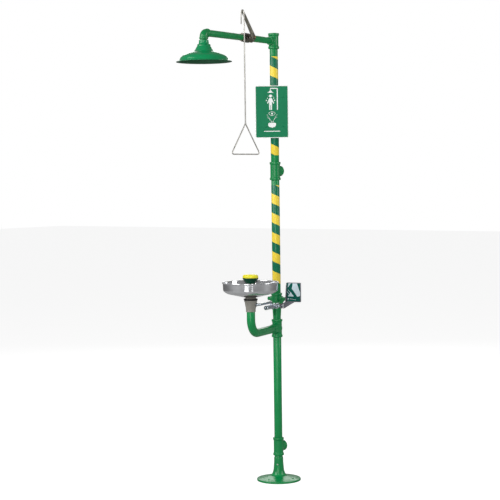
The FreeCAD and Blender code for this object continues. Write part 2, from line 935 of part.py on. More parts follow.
def build_pull_rod(lever_start):
    """Bent bar: hook over the lever's end, long rod and triangular handle."""
    tip_y = -(d.shower_valve_distance + d.lever_length * cosine(d.lever_rise))
    tip_z = d.top_height + d.lever_length * sine(d.lever_rise)
    middle = lever_start + d.lever_thickness / 2
    bar = d.rod_radius

    hook = doc.addObject("Part::Torus", "Hook")
    bind(hook, "Radius1", d.hook_radius)
    bind(hook, "Radius2", bar)
    hook.Angle3 = 180
    place(hook, turn=TO_MINUS_Y)
    short = cylinder(bar, d.hook_leg, x=-d.hook_radius, z=-d.hook_leg)
    rod = cylinder(bar, d.rod_length, x=d.hook_radius, z=-d.rod_length)

    half, drop = d.handle_width.value / 2, d.handle_height.value
    sides = []
    for side in (-1, 1):
        route = [Vector(0, 0, 0), Vector(0, side * half, -drop), Vector(0, 0, -drop)]
        sides.append(shaped(bar_along(route, [d.handle_bend.value], bar.value)))
    handle = fuse(*sides, ball(bar))
    swing = Rotation(Vector(0, 0, 1), d.handle_turn.value)
    place(handle, d.hook_radius, 0, -d.rod_length, swing)
    keep("pull_rod", place(fuse(hook, short, rod, handle), middle, tip_y, tip_z - d.hook_radius))


def bell_outline():
    """Half section of the head's bell, from the rim up the outside and down the inside."""
    wall = d.bell_wall
    throat = d.throat_radius
    return [
        (d.rim_radius, 0),
        (d.rim_radius, 2),
        (d.skirt_radius + 3, 5),
        (d.skirt_radius - 1, 9, -4),
        (d.shoulder_radius + 1.5, 26),
        (d.crown_radius, 38, 30),
        (throat + 15, 46),
        (throat, 61, -18),
        (d.collar_radius, d.bell_height),
        (d.collar_radius - wall - 1, d.bell_height),
        (throat - wall - 1, 59),
        (throat + 13, 42, 18),
        (d.crown_radius - 1, 35),
        (d.shoulder_radius - 1.5, 24, -28),
        (d.skirt_radius - 3.5, 8),
        (d.skirt_radius + 1, 2, 6),
    ]


def build_shower():
    v = SHOWER_VALVE
    near = d.top_reach - ARM.thread
    valve_near = d.shower_valve_distance - v.half + ARM.thread
    valve_far = d.shower_valve_distance + v.half - ARM.thread
    arm_end = d.arm_length - d.arm_reach + ARM.thread
    nipple = tube(ARM.pipe, ARM.bore, valve_near - near, y=-near, z=d.top_height, turn=TO_MINUS_Y)
    keep("arm_nipple", nipple)
    arm = tube(ARM.pipe, ARM.bore, arm_end - valve_far, y=-valve_far, z=d.top_height, turn=TO_MINUS_Y)
    keep("arm_pipe", arm)
    ball_valve("shower", v, at_shower_valve)
    lever_start = shower_lever()
    build_pull_rod(lever_start)

    limbs = [(ARM, d.arm_reach, TO_Y), (ARM, d.arm_reach, DOWN)]
    elbow = fitting(limbs, ball(ARM.body))
    keep("arm_elbow", place(elbow, y=-d.arm_length, z=d.top_height))

    hub_top = d.rim_height + d.hub_top
    drop_top = d.top_height - d.arm_reach + ARM.thread
    drop_bottom = hub_top - ARM.thread + 4
    nipple = tube(ARM.pipe, ARM.bore, drop_top - drop_bottom, y=-d.arm_length, z=drop_bottom)
    keep("drop_nipple", nipple)

    neck = d.collar_radius - d.bell_wall - 1
    hub = [
        (9, d.bell_height - 12),
        (neck - d.slip, d.bell_height - 12),
        (neck - d.slip, d.bell_height),
        (d.collar_radius, d.bell_height),
        (d.collar_radius, d.bell_height + 4),
        (d.hub_radius, d.bell_height + 8),
        (d.hub_radius, d.hub_top - 2),
        (d.hub_radius - 2, d.hub_top),
        (ARM.socket, d.hub_top),
        (ARM.socket, d.hub_top - ARM.thread + 4),
        (9, d.hub_top - ARM.thread + 4),
    ]
    keep("head_hub", place(turned(hub), y=-d.arm_length, z=d.rim_height))
    keep("shower_bell", place(turned(bell_outline()), y=-d.arm_length, z=d.rim_height))

    low = d.deflector_height
    dish = [
        (0, low),
        (d.deflector_radius - 8, low),
        (d.deflector_radius, low + 6),
        (d.deflector_radius - 2, low + 8),
        (d.deflector_radius - 9, low + 3),
        (8, low + 5),
        (6, d.bell_height - 12),
        (0, d.bell_height - 12),
    ]
    arms = []
    for k in range(3):
        arm = box(neck - 0.3, 4, 5, x=neck / 2 - 0.3, z=d.bell_height - 17)
        arms.append(place(group(arm), turn=Rotation(Vector(0, 0, 1), 120 * k)))
    spider = fuse(turned(dish), *arms)
    keep("head_deflector", place(spider, y=-d.arm_length, z=d.rim_height))


# ---------------------------------------------------------------- bowl and drain


RISER_DROP = 9


def build_bowl():
    rim = d.bowl_depth
    radius, wall, bead = d.bowl_radius, d.bowl_wall, d.bowl_bead
    dish = d.bowl_dish_rise
    corner = d.bowl_corner
    section = [
        (d.bowl_outlet - 6, 0),
        (d.bowl_outlet + 8, 0),
        (radius - corner, dish, 420),
        (radius - 1.5, dish + corner, 16),
        (radius, rim - 2 * bead),
        (radius + bead * 2, rim - bead, bead * 1.45),
        (radius, rim, bead * 1.45),
        (radius - wall, rim - wall),
        (radius - wall - 1.5, dish + corner),
        (radius - corner - 0.5, dish + wall, -14.5),
        (d.bowl_outlet + 8, wall, -420),
        (d.bowl_outlet - 6, wall),
    ]
    at_bowl = d.bowl_rim_height - d.bowl_depth
    keep("bowl", bowl_side(turned(section), y=-d.bowl_distance, z=at_bowl))

    top, thick = d.gasket_top, d.gasket_thickness
    ring = [
        (22, 0),
        (d.gasket_radius - 3.5, 0),
        (d.gasket_radius, 3),
        (d.gasket_radius, thick),
        (22, thick),
    ]
    keep("bowl_gasket", bowl_side(turned(ring), y=-d.bowl_distance, z=top - thick))

    lock = [
        (19.5, 0),
        (d.gasket_radius - 4.5, 0),
        (21.5, at_bowl - top),
        (19.5, at_bowl - top),
    ]
    keep("bowl_locknut", bowl_side(turned(lock), y=-d.bowl_distance, z=top))

    flange = [
        (15.5, 0),
        (19.4, 0),
        (19.4, 20 + bead),
        (34, 20 + bead),
        (34, 22 + bead),
        (15.5, 22 + bead),
    ]
    grate = turned(flange)
    web = cylinder(19, 2, z=20 + bead)
    slots = [
        box(7, 2.4, 6, 14.6 * math.cos(k * math.pi / 4), 14.6 * math.sin(k * math.pi / 4), 18)
        for k in range(8)
    ]
    ring = cut(fuse(grate, web), cylinder(d.riser_radius + 0.4, 8, z=18), *slots)
    keep("drain_strainer", bowl_side(ring, y=-d.bowl_distance, z=at_bowl - 20 - bead + wall))

    low = d.cone_bottom
    height = top - thick - low
    shell = [
        (d.cone_foot, 0),
        (d.cone_foot + 1.2, 14),
        (d.cone_top - 0.8, height - 16),
        (d.cone_top + 3.5, height - 3),
        (d.cone_top + 3.5, height),
        (19.5, height),
        (d.cone_top - 7, height - 16),
        (POLE.socket - 1.5, 14),
        (POLE.socket - 1.5, 12),
        (POLE.socket, 12),
        (POLE.socket, 0),
    ]
    port = d.port_height - low
    middle = cylinder(13.5, 22, z=port - 12)
    boss = cylinder(10.5, d.port_reach, z=port, turn=TO_X)
    inner = cylinder(9.5, d.cone_top - 4, z=port, turn=TO_MINUS_X)
    solid = fuse(turned(shell), middle, boss, inner)
    bores = [
        cylinder(d.riser_radius + d.slip, 20, z=port - RISER_DROP),
        cylinder(d.tube_radius + d.slip, d.cone_top + 8, z=port, turn=TO_X),
    ]
    keep("drain_body", bowl_side(cut(solid, *bores), y=-d.bowl_distance, z=low))

    engaged = 11.5
    route_drop = low + engaged - d.drain_height
    run = d.bowl_distance - (d.drain_reach - POLE.thread)
    bend = d.bend_radius
    route = [
        (0, 0),
        (0, -(route_drop - bend)),
        (bend, -route_drop, bend),
        (run, -route_drop),
    ]
    pipe = bent_pipe(route, POLE.pipe, POLE.bore, "XY_Plane", "YZ_Plane")
    keep("drain_pipe", bowl_side(pipe, y=-d.bowl_distance, z=low + engaged))


def ellipse_sketch(body, length, width, lift):
    """An ellipse across the head, long axis along X."""
    made = sketch_on(body, "XY_Plane", lift)
    oval = Part.Ellipse(Vector(length.value / 2, 0, 0), Vector(0, width.value / 2, 0), Vector())
    index = made.addGeometry(oval, False)
    made.exposeInternalGeometry(index)
    made.addConstraint(Sketcher.Constraint("Coincident", index, 3, -1, 1))
    made.addConstraint(Sketcher.Constraint("PointOnObject", index + 1, 1, -1))
    long_axis = made.addConstraint(Sketcher.Constraint("Distance", index + 1, length.value))
    made.setExpression(f"Constraints[{long_axis}]", length.text)
    short_axis = made.addConstraint(Sketcher.Constraint("Distance", index + 2, width.value))
    made.setExpression(f"Constraints[{short_axis}]", width.text)
    return made


def oval_loft(levels):
    """A lofted solid through ovals given as (length, width, height)."""
    body = new_body()
    rings = [ellipse_sketch(body, size(a), size(b), size(c)) for a, b, c in levels]
    loft = body.newObject("PartDesign::AdditiveLoft", "Shell")
    loft.Profile = rings[0]
    loft.Sections = rings[1:]
    loft.Ruled = True
    return body


def build_spray_head():
    """Riser, oval head with two groups of jets in its deck, and the dust cover."""
    length, width = d.head_length, d.head_width
    riser_top = d.head_foot + 12
    foot = d.port_height - RISER_DROP
    riser = cut(
        cylinder(d.riser_radius, riser_top - foot),
        cylinder(d.riser_radius - d.riser_wall, riser_top - foot - 3, z=3),
        cylinder(d.tube_radius - d.tube_wall, d.riser_radius * 2, z=RISER_DROP, turn=TO_X),
    )
    keep("head_riser", bowl_side(riser, y=-d.bowl_distance, z=foot))

    bottom = d.head_foot
    rim, seat = d.head_rim - bottom, d.head_seat - bottom
    socket = cylinder(15.5, 18)
    shell = oval_loft([
        (size(31), size(31), 10),
        (length * 0.68, width * 0.68, seat - 2),
        (length * 0.86, width * 0.86, seat + 7),
        (length, width, seat + 13),
        (length, width, rim),
    ])
    deck_room = oval_loft([
        (length - 16, width - 14, rim - 8),
        (length - 7, width - 7, rim - 4),
        (length - 7, width - 7, rim + 1),
    ])
    throat = cylinder(d.riser_radius - d.riser_wall, rim)
    well = cylinder(d.riser_radius + d.slip, 12)
    body = cut(fuse(socket, shell), deck_room, throat, well)
    keep("head_body", bowl_side(body, y=-d.bowl_distance, z=bottom))

    deck = oval_loft([
        (length - 7.5, width - 7.5, 0),
        (length - 7.5, width - 7.5, d.deck_thickness),
    ])
    jets = []
    count = round(d.jet_count.value)
    for side in (-1, 1):
        for k in range(count):
            angle = Size(360.0 * k / count, str(360.0 * k / count))
            across = side * d.eye_spacing / 2 + d.jet_ring * cosine(angle)
            along = d.jet_ring * sine(angle)
            jets.append(cylinder(d.jet_radius, d.deck_thickness + 2, across, along, -1))
    deck_height = d.head_rim - d.deck_thickness - 1
    keep("nozzle_deck", bowl_side(cut(deck, *jets), y=-d.bowl_distance, z=deck_height))

    cover = oval_loft([
        (length - 1, width - 1, 0),
        (length, width, 5),
        (length - 2, width - 2, 11),
        (length - 12, width - 12, d.cover_height - 2.5),
        (length - 30, width - 26, d.cover_height),
    ])
    hollow = oval_loft([
        (length - 7, width - 7, -1),
        (length - 7, width - 7, 9),
        (length - 22, width - 20, d.cover_height - 5),
    ])
    keep("dust_cover", bowl_side(cut(cover, hollow), y=-d.bowl_distance, z=d.head_rim + GAP))


# ---------------------------------------------------------------- eyewash supply and flag


def at_eye_valve(thing):
    holder = group(thing)
    return bowl_side(holder, d.line_offset, -d.eye_valve_distance, d.line_height)


def in_bowl_frame(shape):
    """Turn a shape that is drawn in the eyewash frame into the pole's frame."""
    made = shaped(shape)
    made.Placement = Placement(Vector(), Rotation(Vector(0, 0, 1), d.bowl_turn.value))
    return made


def build_supply_line():
    v = EYE_VALVE
    across, height = d.line_offset.value, d.line_height.value
    near = d.eye_valve_distance.value - v.half.value
    inside_boss = POLE.body.value + 2
    elbow = across - d.feed_side_reach.value
    route = [
        Vector(inside_boss, 0, d.feed_height.value),
        Vector(across, 0, d.feed_height.value),
        Vector(across, -24, d.feed_height.value),
        Vector(across, -(near - 12), height),
        Vector(across, -(near + TUBE.thread.value), height),
    ]
    bends = [elbow, 22.0, 22.0]
    outer = bar_along(route, bends, TUBE.pipe.value)
    inner = bar_along(route, bends, TUBE.bore.value)
    keep("feed_pipe", in_bowl_frame(outer.cut(inner)))

    ball_valve("eye", v, at_eye_valve)

    start = d.eye_valve_distance + v.half + 4
    radius, length = d.strainer_radius, d.strainer_length
    barrel = length - d.strainer_cap
    outlet = start.value + d.strainer_outlet.value
    bowl_y, port = d.bowl_distance.value, d.port_height.value
    route = [
        Vector(across, -outlet, height + 2),
        Vector(across, -outlet, port),
        Vector(across, -bowl_y, port),
        Vector(d.riser_radius.value + 4, -bowl_y, port),
    ]
    bends = [9.5, across - d.port_reach.value - d.port_nut.value]
    outer = bar_along(route, bends, d.tube_radius.value)
    inner = bar_along(route, bends, d.tube_radius.value - d.tube_wall.value)
    keep("supply_tube", in_bowl_frame(outer.cut(inner)))

    run = fuse(
        cylinder(TUBE.pipe, TUBE.thread + 4, y=TUBE.thread + 4, turn=TO_MINUS_Y),
        cylinder(radius, barrel, turn=TO_MINUS_Y),
        hexagon(radius * 2.6, 10, turn=TO_MINUS_Y),
    )
    bore = cylinder(TUBE.bore, barrel + TUBE.thread + 4, y=TUBE.thread + 4, turn=TO_MINUS_Y)
    body = bowl_side(cut(run, bore), d.line_offset, -start, d.line_height)
    keep("strainer_body", cut(body, in_bowl_frame(outer)))

    socket = 5
    cap = cut(
        fuse(
            cylinder(radius, d.strainer_cap - 1.5, turn=TO_MINUS_Y),
            cylinder(radius - 1.5, d.strainer_cap, turn=TO_MINUS_Y),
            cylinder(TUBE.bore - d.slip, 6, y=6, turn=TO_MINUS_Y),
        ),
        hexagon(size(11), socket + 1, y=-(d.strainer_cap - socket), turn=TO_MINUS_Y),
    )
    keep("strainer_cap", bowl_side(cap, d.line_offset, -(start + barrel), d.line_height))
    screen = place(tube(TUBE.bore - 0.4, TUBE.bore - 1.2, 36), turn=TO_MINUS_Y)
    screen_start = start + d.strainer_outlet + d.tube_radius + 4
    keep("strainer_screen", bowl_side(group(screen), d.line_offset, -screen_start, d.line_height))

    nut = cut(
        hexagon(d.tube_radius * 2.8, d.port_nut, turn=TO_X),
        cylinder(d.tube_radius + d.slip, d.port_nut, turn=TO_X),
    )
    keep("tube_nut", bowl_side(group(nut), d.port_reach, -d.bowl_distance, d.port_height))


def build_flag():
    """Cast push flag: hub on the valve stem, web and ribbed plate in one casting."""
    v = EYE_VALVE
    hub_start = v.boss_reach + v.stem * 1.5 + 1
    hub_length = 9
    left, bottom = d.flag_left - d.line_offset, d.flag_bottom
    thick = d.flag_thickness
    middle = left + d.flag_width / 2
    plate = rounded_plate(d.flag_width, thick, d.flag_height, d.flag_corner)
    rib = padded("YZ_Plane", [
        (0, bottom),
        (-d.flag_rib, bottom),
        (-4, bottom + d.flag_height * 0.85),
        (0, bottom + d.flag_height * 0.85),
    ], thick, middle=False)
    web = padded("XZ_Plane", [
        (hub_start, -10),
        (hub_start + hub_length + 12, -12),
        (left + d.flag_width * 0.62, bottom + 3),
        (left, bottom + 3),
        (hub_start, 8),
    ], thick)
    hub = cylinder(d.flag_hub, hub_length, x=hub_start, turn=TO_X)
    nut_room = v.stem * 2.2
    casting = cut(
        fuse(hub, web, place(group(plate), middle, 0, bottom), place(rib, x=left)),
        cylinder(v.stem + 0.02, hub_length, x=hub_start, turn=TO_X),
        cylinder(nut_room, hub_length, x=hub_start + hub_length, turn=TO_X),
    )
    keep("flag_lever", at_eye_valve(casting))
    margin = d.flag_decal_margin
    decal = rounded_plate(
        d.flag_width - margin * 2,
        d.flag_decal_thickness,
        d.flag_height - margin * 2,
        d.flag_corner - 2,
    )
    front = (thick + d.flag_decal_thickness) / 2
    keep("flag_decal", at_eye_valve(place(group(decal), middle, -front, bottom + margin)))
    stem_nut("flag", v, hub_start + hub_length, at_eye_valve)


# ---------------------------------------------------------------- check and export


def export():
    doc.recompute()
    for thing in doc.Objects:
        assert not {"Invalid", "Error"} & set(thing.State), f"{thing.Name} did not compute"
    for thing in nodes:
        assert not thing.Shape.isNull() and thing.Shape.isValid(), f"{thing.Label} has no valid shape"
    for thing in nodes:
        thing.Shape.exportStep(f"parts/{thing.Label}.step")


build_pole()
build_sign()
build_shower()
build_bowl()
build_spray_head()
build_supply_line()
build_flag()
export()
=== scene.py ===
import math

import bmesh
import bpy
from bpy.props import FloatProperty, FloatVectorProperty, PointerProperty
from bpy.types import Operator, Panel, PropertyGroup
from mathutils import Matrix, Vector


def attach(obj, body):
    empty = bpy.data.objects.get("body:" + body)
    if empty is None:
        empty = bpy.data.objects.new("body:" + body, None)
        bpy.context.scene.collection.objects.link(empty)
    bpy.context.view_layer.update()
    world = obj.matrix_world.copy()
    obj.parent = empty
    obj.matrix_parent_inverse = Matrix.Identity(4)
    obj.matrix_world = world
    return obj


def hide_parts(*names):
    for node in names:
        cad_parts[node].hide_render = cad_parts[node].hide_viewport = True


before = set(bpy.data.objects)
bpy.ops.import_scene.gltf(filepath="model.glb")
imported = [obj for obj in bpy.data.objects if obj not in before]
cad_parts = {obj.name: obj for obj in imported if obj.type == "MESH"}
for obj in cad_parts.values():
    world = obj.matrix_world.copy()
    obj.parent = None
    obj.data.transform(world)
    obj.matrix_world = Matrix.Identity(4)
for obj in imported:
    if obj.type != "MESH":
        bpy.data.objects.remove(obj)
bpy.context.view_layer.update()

bl_info = {
    "name": "Eyewash and shower station",
    "version": (1, 0, 0),
    "blender": (4, 5, 0),
    "location": "View3D > Sidebar > Eyewash",
    "description": "Builds an emergency shower and eyewash station on its frame",
    "category": "Object",
}

MM = 0.001
STATION = "station"
HANDLE = "shower_handle"
ROD = "pull_rod"
FLAG = "push_flag"
COVER = "dust_cover"

UP = Vector((0, 0, 1))
DOWN = Vector((0, 0, -1))
FRONT = Vector((0, -1, 0))
BACK = Vector((0, 1, 0))
LEFT = Vector((-1, 0, 0))
RIGHT = Vector((1, 0, 0))


# ---------------------------------------------------------------- placing


def at(x, y, z):
    """A move, in millimetres."""
    return Matrix.Translation(Vector((x, y, z)) * MM)


def facing(way):
    """A turn that sends a piece made along +Z off along another way."""
    return Vector(way).to_track_quat("Z", "Y").to_matrix().to_4x4()


def about_pole(degrees):
    return Matrix.Rotation(math.radians(degrees), 4, "Z")


# ---------------------------------------------------------------- shapes, all in millimetres


def shape_faces_below(shape):
    """Faces that look down, as the lining of a bell does; the bell gives these a darker copy of its green as painted
    shade.
    """
    shape.normal_update()
    return [f for f in shape.faces if f.normal.z < -0.12]


def place_shape(shape, place):
    bmesh.ops.transform(shape, matrix=place, verts=shape.verts)
    return shape


def soften(shape, edges, width, segments=3):
    """Round the edges given, by a width in millimetres."""
    edges = [e for e in edges if e.is_valid]
    if edges:
        bmesh.ops.bevel(
            shape, geom=edges, offset=width * MM, offset_type="OFFSET", segments=segments,
            profile=0.5, affect="EDGES", material=-1, clamp_overlap=True,
        )


def sharp_edges(shape, angle=35):
    limit = math.radians(angle)
    return [e for e in shape.edges if len(e.link_faces) == 2 and e.calc_face_angle(0) > limit]


def lathe(profile, place=Matrix(), steps=72, edge=0.5):
    """Spin an outline of (radius, height) or (radius, height, rounding) about the Z axis."""
    shape = bmesh.new()
    verts = [shape.verts.new((p[0] * MM, 0, p[1] * MM)) for p in profile]
    open_outline = profile[0][0] == 0 and profile[-1][0] == 0
    followers = verts[1:] if open_outline else verts[1:] + verts[:1]
    edges = [shape.edges.new(pair) for pair in zip(verts, followers)]
    bmesh.ops.spin(
        shape, geom=verts + edges, cent=(0, 0, 0), axis=(0, 0, 1), angle=math.tau,
        steps=steps, use_merge=True, use_duplicate=False,
    )
    bmesh.ops.remove_doubles(shape, verts=shape.verts, dist=1e-7)
    bmesh.ops.recalc_face_normals(shape, faces=shape.faces)
    rings = {}
    for point in profile:
        rounding = point[2] if len(point) > 2 else edge
        if point[0] > 0 and rounding > 0:
            rings.setdefault(rounding, []).append(point)
    for rounding, points in sorted(rings.items(), reverse=True):
        chosen = []
        for radius, height in ((p[0] * MM, p[1] * MM) for p in points):
            chosen += [
                e for e in shape.edges
                if all(abs(v.co.z - height) < 2e-6 and abs(v.co.xy.length - radius) < 2e-6 for v in e.verts)
            ]
        soften(shape, chosen, rounding, 2 if rounding < 0.6 else 3 if rounding < 2 else 6)
    return place_shape(shape, place)


def pipe(radius, wall, length, place=Matrix(), steps=72):
    """A straight tube from the origin up, open at both ends."""
    outline = [(radius, 0), (radius, length), (radius - wall, length), (radius - wall, 0)]
    return lathe(outline, place, steps, 0.3)


def plate(outline, thickness, place=Matrix(), corner=0.0, edge=0.4, corners=None):
    """A plate cut to an outline in its own XY plane, thickened to both sides."""
    shape = bmesh.new()
    verts = [shape.verts.new((x * MM, y * MM, -thickness / 2 * MM)) for x, y in outline]
    face = shape.faces.new(verts)
    raised = bmesh.ops.extrude_face_region(shape, geom=[face])["geom"]
    moved = [v for v in raised if isinstance(v, bmesh.types.BMVert)]
    bmesh.ops.translate(shape, verts=moved, vec=(0, 0, thickness * MM))
    bmesh.ops.recalc_face_normals(shape, faces=shape.faces)
    if corner:
        upright = [e for e in shape.edges if abs((e.verts[0].co - e.verts[1].co).z) > 1e-6]
        if corners is not None:
            upright = [
                e for e in upright
                if any((e.verts[0].co.xy - Vector(outline[i]) * MM).length < 1e-6 for i in corners)
            ]
        soften(shape, upright, corner, 6)
    if edge:
        soften(shape, sharp_edges(shape, 60), edge, 2)
    return place_shape(shape, place)


def block(length, width, height, place=Matrix(), edge=0.4):
    """A block standing on the origin, centred in x and y."""
    half = (length / 2, width / 2)
    outline = [(-half[0], -half[1]), (half[0], -half[1]), (half[0], half[1]), (-half[0], half[1])]
    return plate(outline, height, place @ at(0, 0, height / 2), edge=edge)


def hex_nut(across_corners, height, place=Matrix(), chamfer=1.0, foot=True):
    """A hexagon whose ends are turned down to a circle, as a nut's are."""
    shape = bmesh.new()
    bmesh.ops.create_circle(shape, cap_ends=False, segments=6, radius=across_corners / 2 * MM)
    bmesh.ops.subdivide_edges(shape, edges=shape.edges[:], cuts=7)
    ring = shape.edges[:]
    heights = [chamfer if foot else 0.0, height - chamfer, height]
    bottom = shape.verts[:]
    level = 0.0
    for step in heights:
        if step == level:
            continue
        raised = bmesh.ops.extrude_edge_only(shape, edges=ring)["geom"]
        moved = [v for v in raised if isinstance(v, bmesh.types.BMVert)]
        ring = [e for e in raised if isinstance(e, bmesh.types.BMEdge) and all(v in moved for v in e.verts)]
        bmesh.ops.translate(shape, verts=moved, vec=(0, 0, (step - level) * MM))
        level = step
    flats = across_corners / 2 * math.cos(math.pi / 6) * 1.01 * MM
    for v in moved + (bottom if foot else []):
        reach = v.co.xy.length
        if reach > flats:
            v.co.x *= flats / reach
            v.co.y *= flats / reach
    bmesh.ops.holes_fill(shape, edges=[e for e in shape.edges if e.is_boundary], sides=0)
    bmesh.ops.recalc_face_normals(shape, faces=shape.faces)
    return place_shape(shape, place)


def bent_bar(route, bends, radius, sides=24, steps=10, tip=0.4):
    """A round bar swept along straight runs, with an arc of the given radius at each inner corner."""
    route = [Vector(p) * MM for p in route]
    shape = bmesh.new()
    way = (route[1] - route[0]).normalized()
    start = Matrix.Translation(route[0]) @ facing(way)
    bmesh.ops.create_circle(shape, cap_ends=True, segments=sides, radius=radius * MM, matrix=start)
    ring = [e for e in shape.edges if e.is_boundary]
    ends = [ring[:]]
    here = route[0]

    def run_on(ring, vec):
        raised = bmesh.ops.extrude_edge_only(shape, edges=ring)["geom"]
        moved = [v for v in raised if isinstance(v, bmesh.types.BMVert)]
        bmesh.ops.translate(shape, verts=moved, vec=vec)
        return [e for e in raised if isinstance(e, bmesh.types.BMEdge) and all(v in moved for v in e.verts)]

    for corner, after, bend in zip(route[1:-1], route[2:], bends):
        before = (corner - here).normalized()
        onward = (after - corner).normalized()
        turn = before.angle(onward)
        entry = corner - before * bend * MM * math.tan(turn / 2)
        if (entry - here).length > 1e-6:
            ring = run_on(ring, entry - here)
        axis = before.cross(onward).normalized()
        middle = entry + axis.cross(before) * bend * MM
        spun = bmesh.ops.spin(
            shape, geom=ring, cent=middle, axis=axis, angle=turn, steps=steps, use_duplicate=False,
        )
        ring = [e for e in spun["geom_last"] if isinstance(e, bmesh.types.BMEdge)]
        here = corner + onward * bend * MM * math.tan(turn / 2)
    if (route[-1] - here).length > 1e-6:
        ring = run_on(ring, route[-1] - here)
    bmesh.ops.contextual_create(shape, geom=ring)
    ends.append(ring)
    bmesh.ops.recalc_face_normals(shape, faces=shape.faces)
    if tip:
        soften(shape, ends[0] + ends[1], tip, 2)
    return shape


def oval_shell(levels, place=Matrix(), sides=72, edge=0.8):
    """A closed shell through ovals given as (length, width, height)."""
    shape = bmesh.new()
    first = levels[0]
    stretch = Matrix.Diagonal((first[0] / 2 * MM, first[1] / 2 * MM, 1, 1))
    bmesh.ops.create_circle(
        shape, cap_ends=True, segments=sides, radius=1, matrix=at(0, 0, first[2]) @ stretch
    )
    ring = [e for e in shape.edges if e.is_boundary]
    for before, after in zip(levels, levels[1:]):
        raised = bmesh.ops.extrude_edge_only(shape, edges=ring)["geom"]
        moved = [v for v in raised if isinstance(v, bmesh.types.BMVert)]
        ring = [e for e in raised if isinstance(e, bmesh.types.BMEdge) and all(v in moved for v in e.verts)]
        scale = (after[0] / before[0], after[1] / before[1], 1)
        bmesh.ops.scale(shape, vec=scale, verts=moved)
        bmesh.ops.translate(shape, vec=(0, 0, (after[2] - before[2]) * MM), verts=moved)
    bmesh.ops.contextual_create(shape, geom=ring)
    bmesh.ops.recalc_face_normals(shape, faces=shape.faces)
    if edge:
        soften(shape, sharp_edges(shape, 14), edge, 4)
    return place_shape(shape, place)


def ball(radius, place=Matrix()):
    shape = bmesh.new()
    bmesh.ops.create_uvsphere(shape, u_segments=48, v_segments=24, radius=radius * MM)
    return place_shape(shape, place)


def together(shapes):
    """All the shapes in one mesh; the shapes are used up."""
    whole = bmesh.new()
    for shape in shapes:
        mesh = bpy.data.meshes.new("shape")
        shape.to_mesh(mesh)
        shape.free()
        whole.from_mesh(mesh)
        bpy.data.meshes.remove(mesh)
    return whole


def as_object(shape, name="tool"):
    mesh = bpy.data.meshes.new(name)
    shape.to_mesh(mesh)
    shape.free()
    made = bpy.data.objects.new(name, mesh)
    bpy.context.scene.collection.objects.link(made)
    return made


def baked(made, *others):
    """The shape of an object with its modifiers worked out; the objects are used up."""
    bpy.context.view_layer.update()
    worked = made.evaluated_get(bpy.context.evaluated_depsgraph_get())
    mesh = bpy.data.meshes.new_from_object(worked)
    shape = bmesh.new()
    shape.from_mesh(mesh)
    bpy.data.meshes.remove(mesh)
    for used in (made, *others):
        data = used.data
        bpy.data.objects.remove(used)
        bpy.data.meshes.remove(data)
    return shape


def carve(shape, *cutters):
    """Cut the cutters out of a shape."""
    made = as_object(shape)
    tools = [as_object(c) for c in cutters]
    for tool in tools:
        cut = made.modifiers.new("Cut", "BOOLEAN")
        cut.operation = "DIFFERENCE"
        cut.solver = "EXACT"
        cut.object = tool
    return baked(made, *tools)


def cast(shapes, grain=1.1, passes=5):
    """Melt overlapping solids into one casting with soft fillets where they meet."""
    made = as_object(together(shapes))
    skin = made.modifiers.new("Skin", "REMESH")
    skin.mode = "VOXEL"
    skin.voxel_size = grain * MM
    shape = baked(made)
    for _ in range(passes):
        bmesh.ops.smooth_vert(
            shape, verts=shape.verts, factor=0.5, use_axis_x=True, use_axis_y=True, use_axis_z=True
        )
    return shape


def piece(name, shape, finish, body, nodes, crease=32, painted_shade_finish=None):
    """A finished piece that stands for its nodes and moves with its body."""
    mesh = bpy.data.meshes.new(name)
    shape.to_mesh(mesh)
    shape.free()
    if len(mesh.polygons) < 6:
        raise RuntimeError(f"{name} came out empty")
    made = bpy.data.objects.new(name, mesh)
    bpy.context.scene.collection.objects.link(made)
    mesh.polygons.foreach_set("use_smooth", [True] * len(mesh.polygons))
    mesh.set_sharp_from_angle(angle=math.radians(crease))
    mesh.materials.append(finish)
    # A second finish: painted shade for the faces that look down.
    if painted_shade_finish:
        mesh.materials.append(painted_shade_finish)
    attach(made, body)
    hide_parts(*nodes)
    return made


def keep_node(node, finish):
    """Give a frame node that is already right its finish."""
    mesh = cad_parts[node].data
    mesh.materials.clear()
    mesh.materials.append(finish)


# ---------------------------------------------------------------- finishes


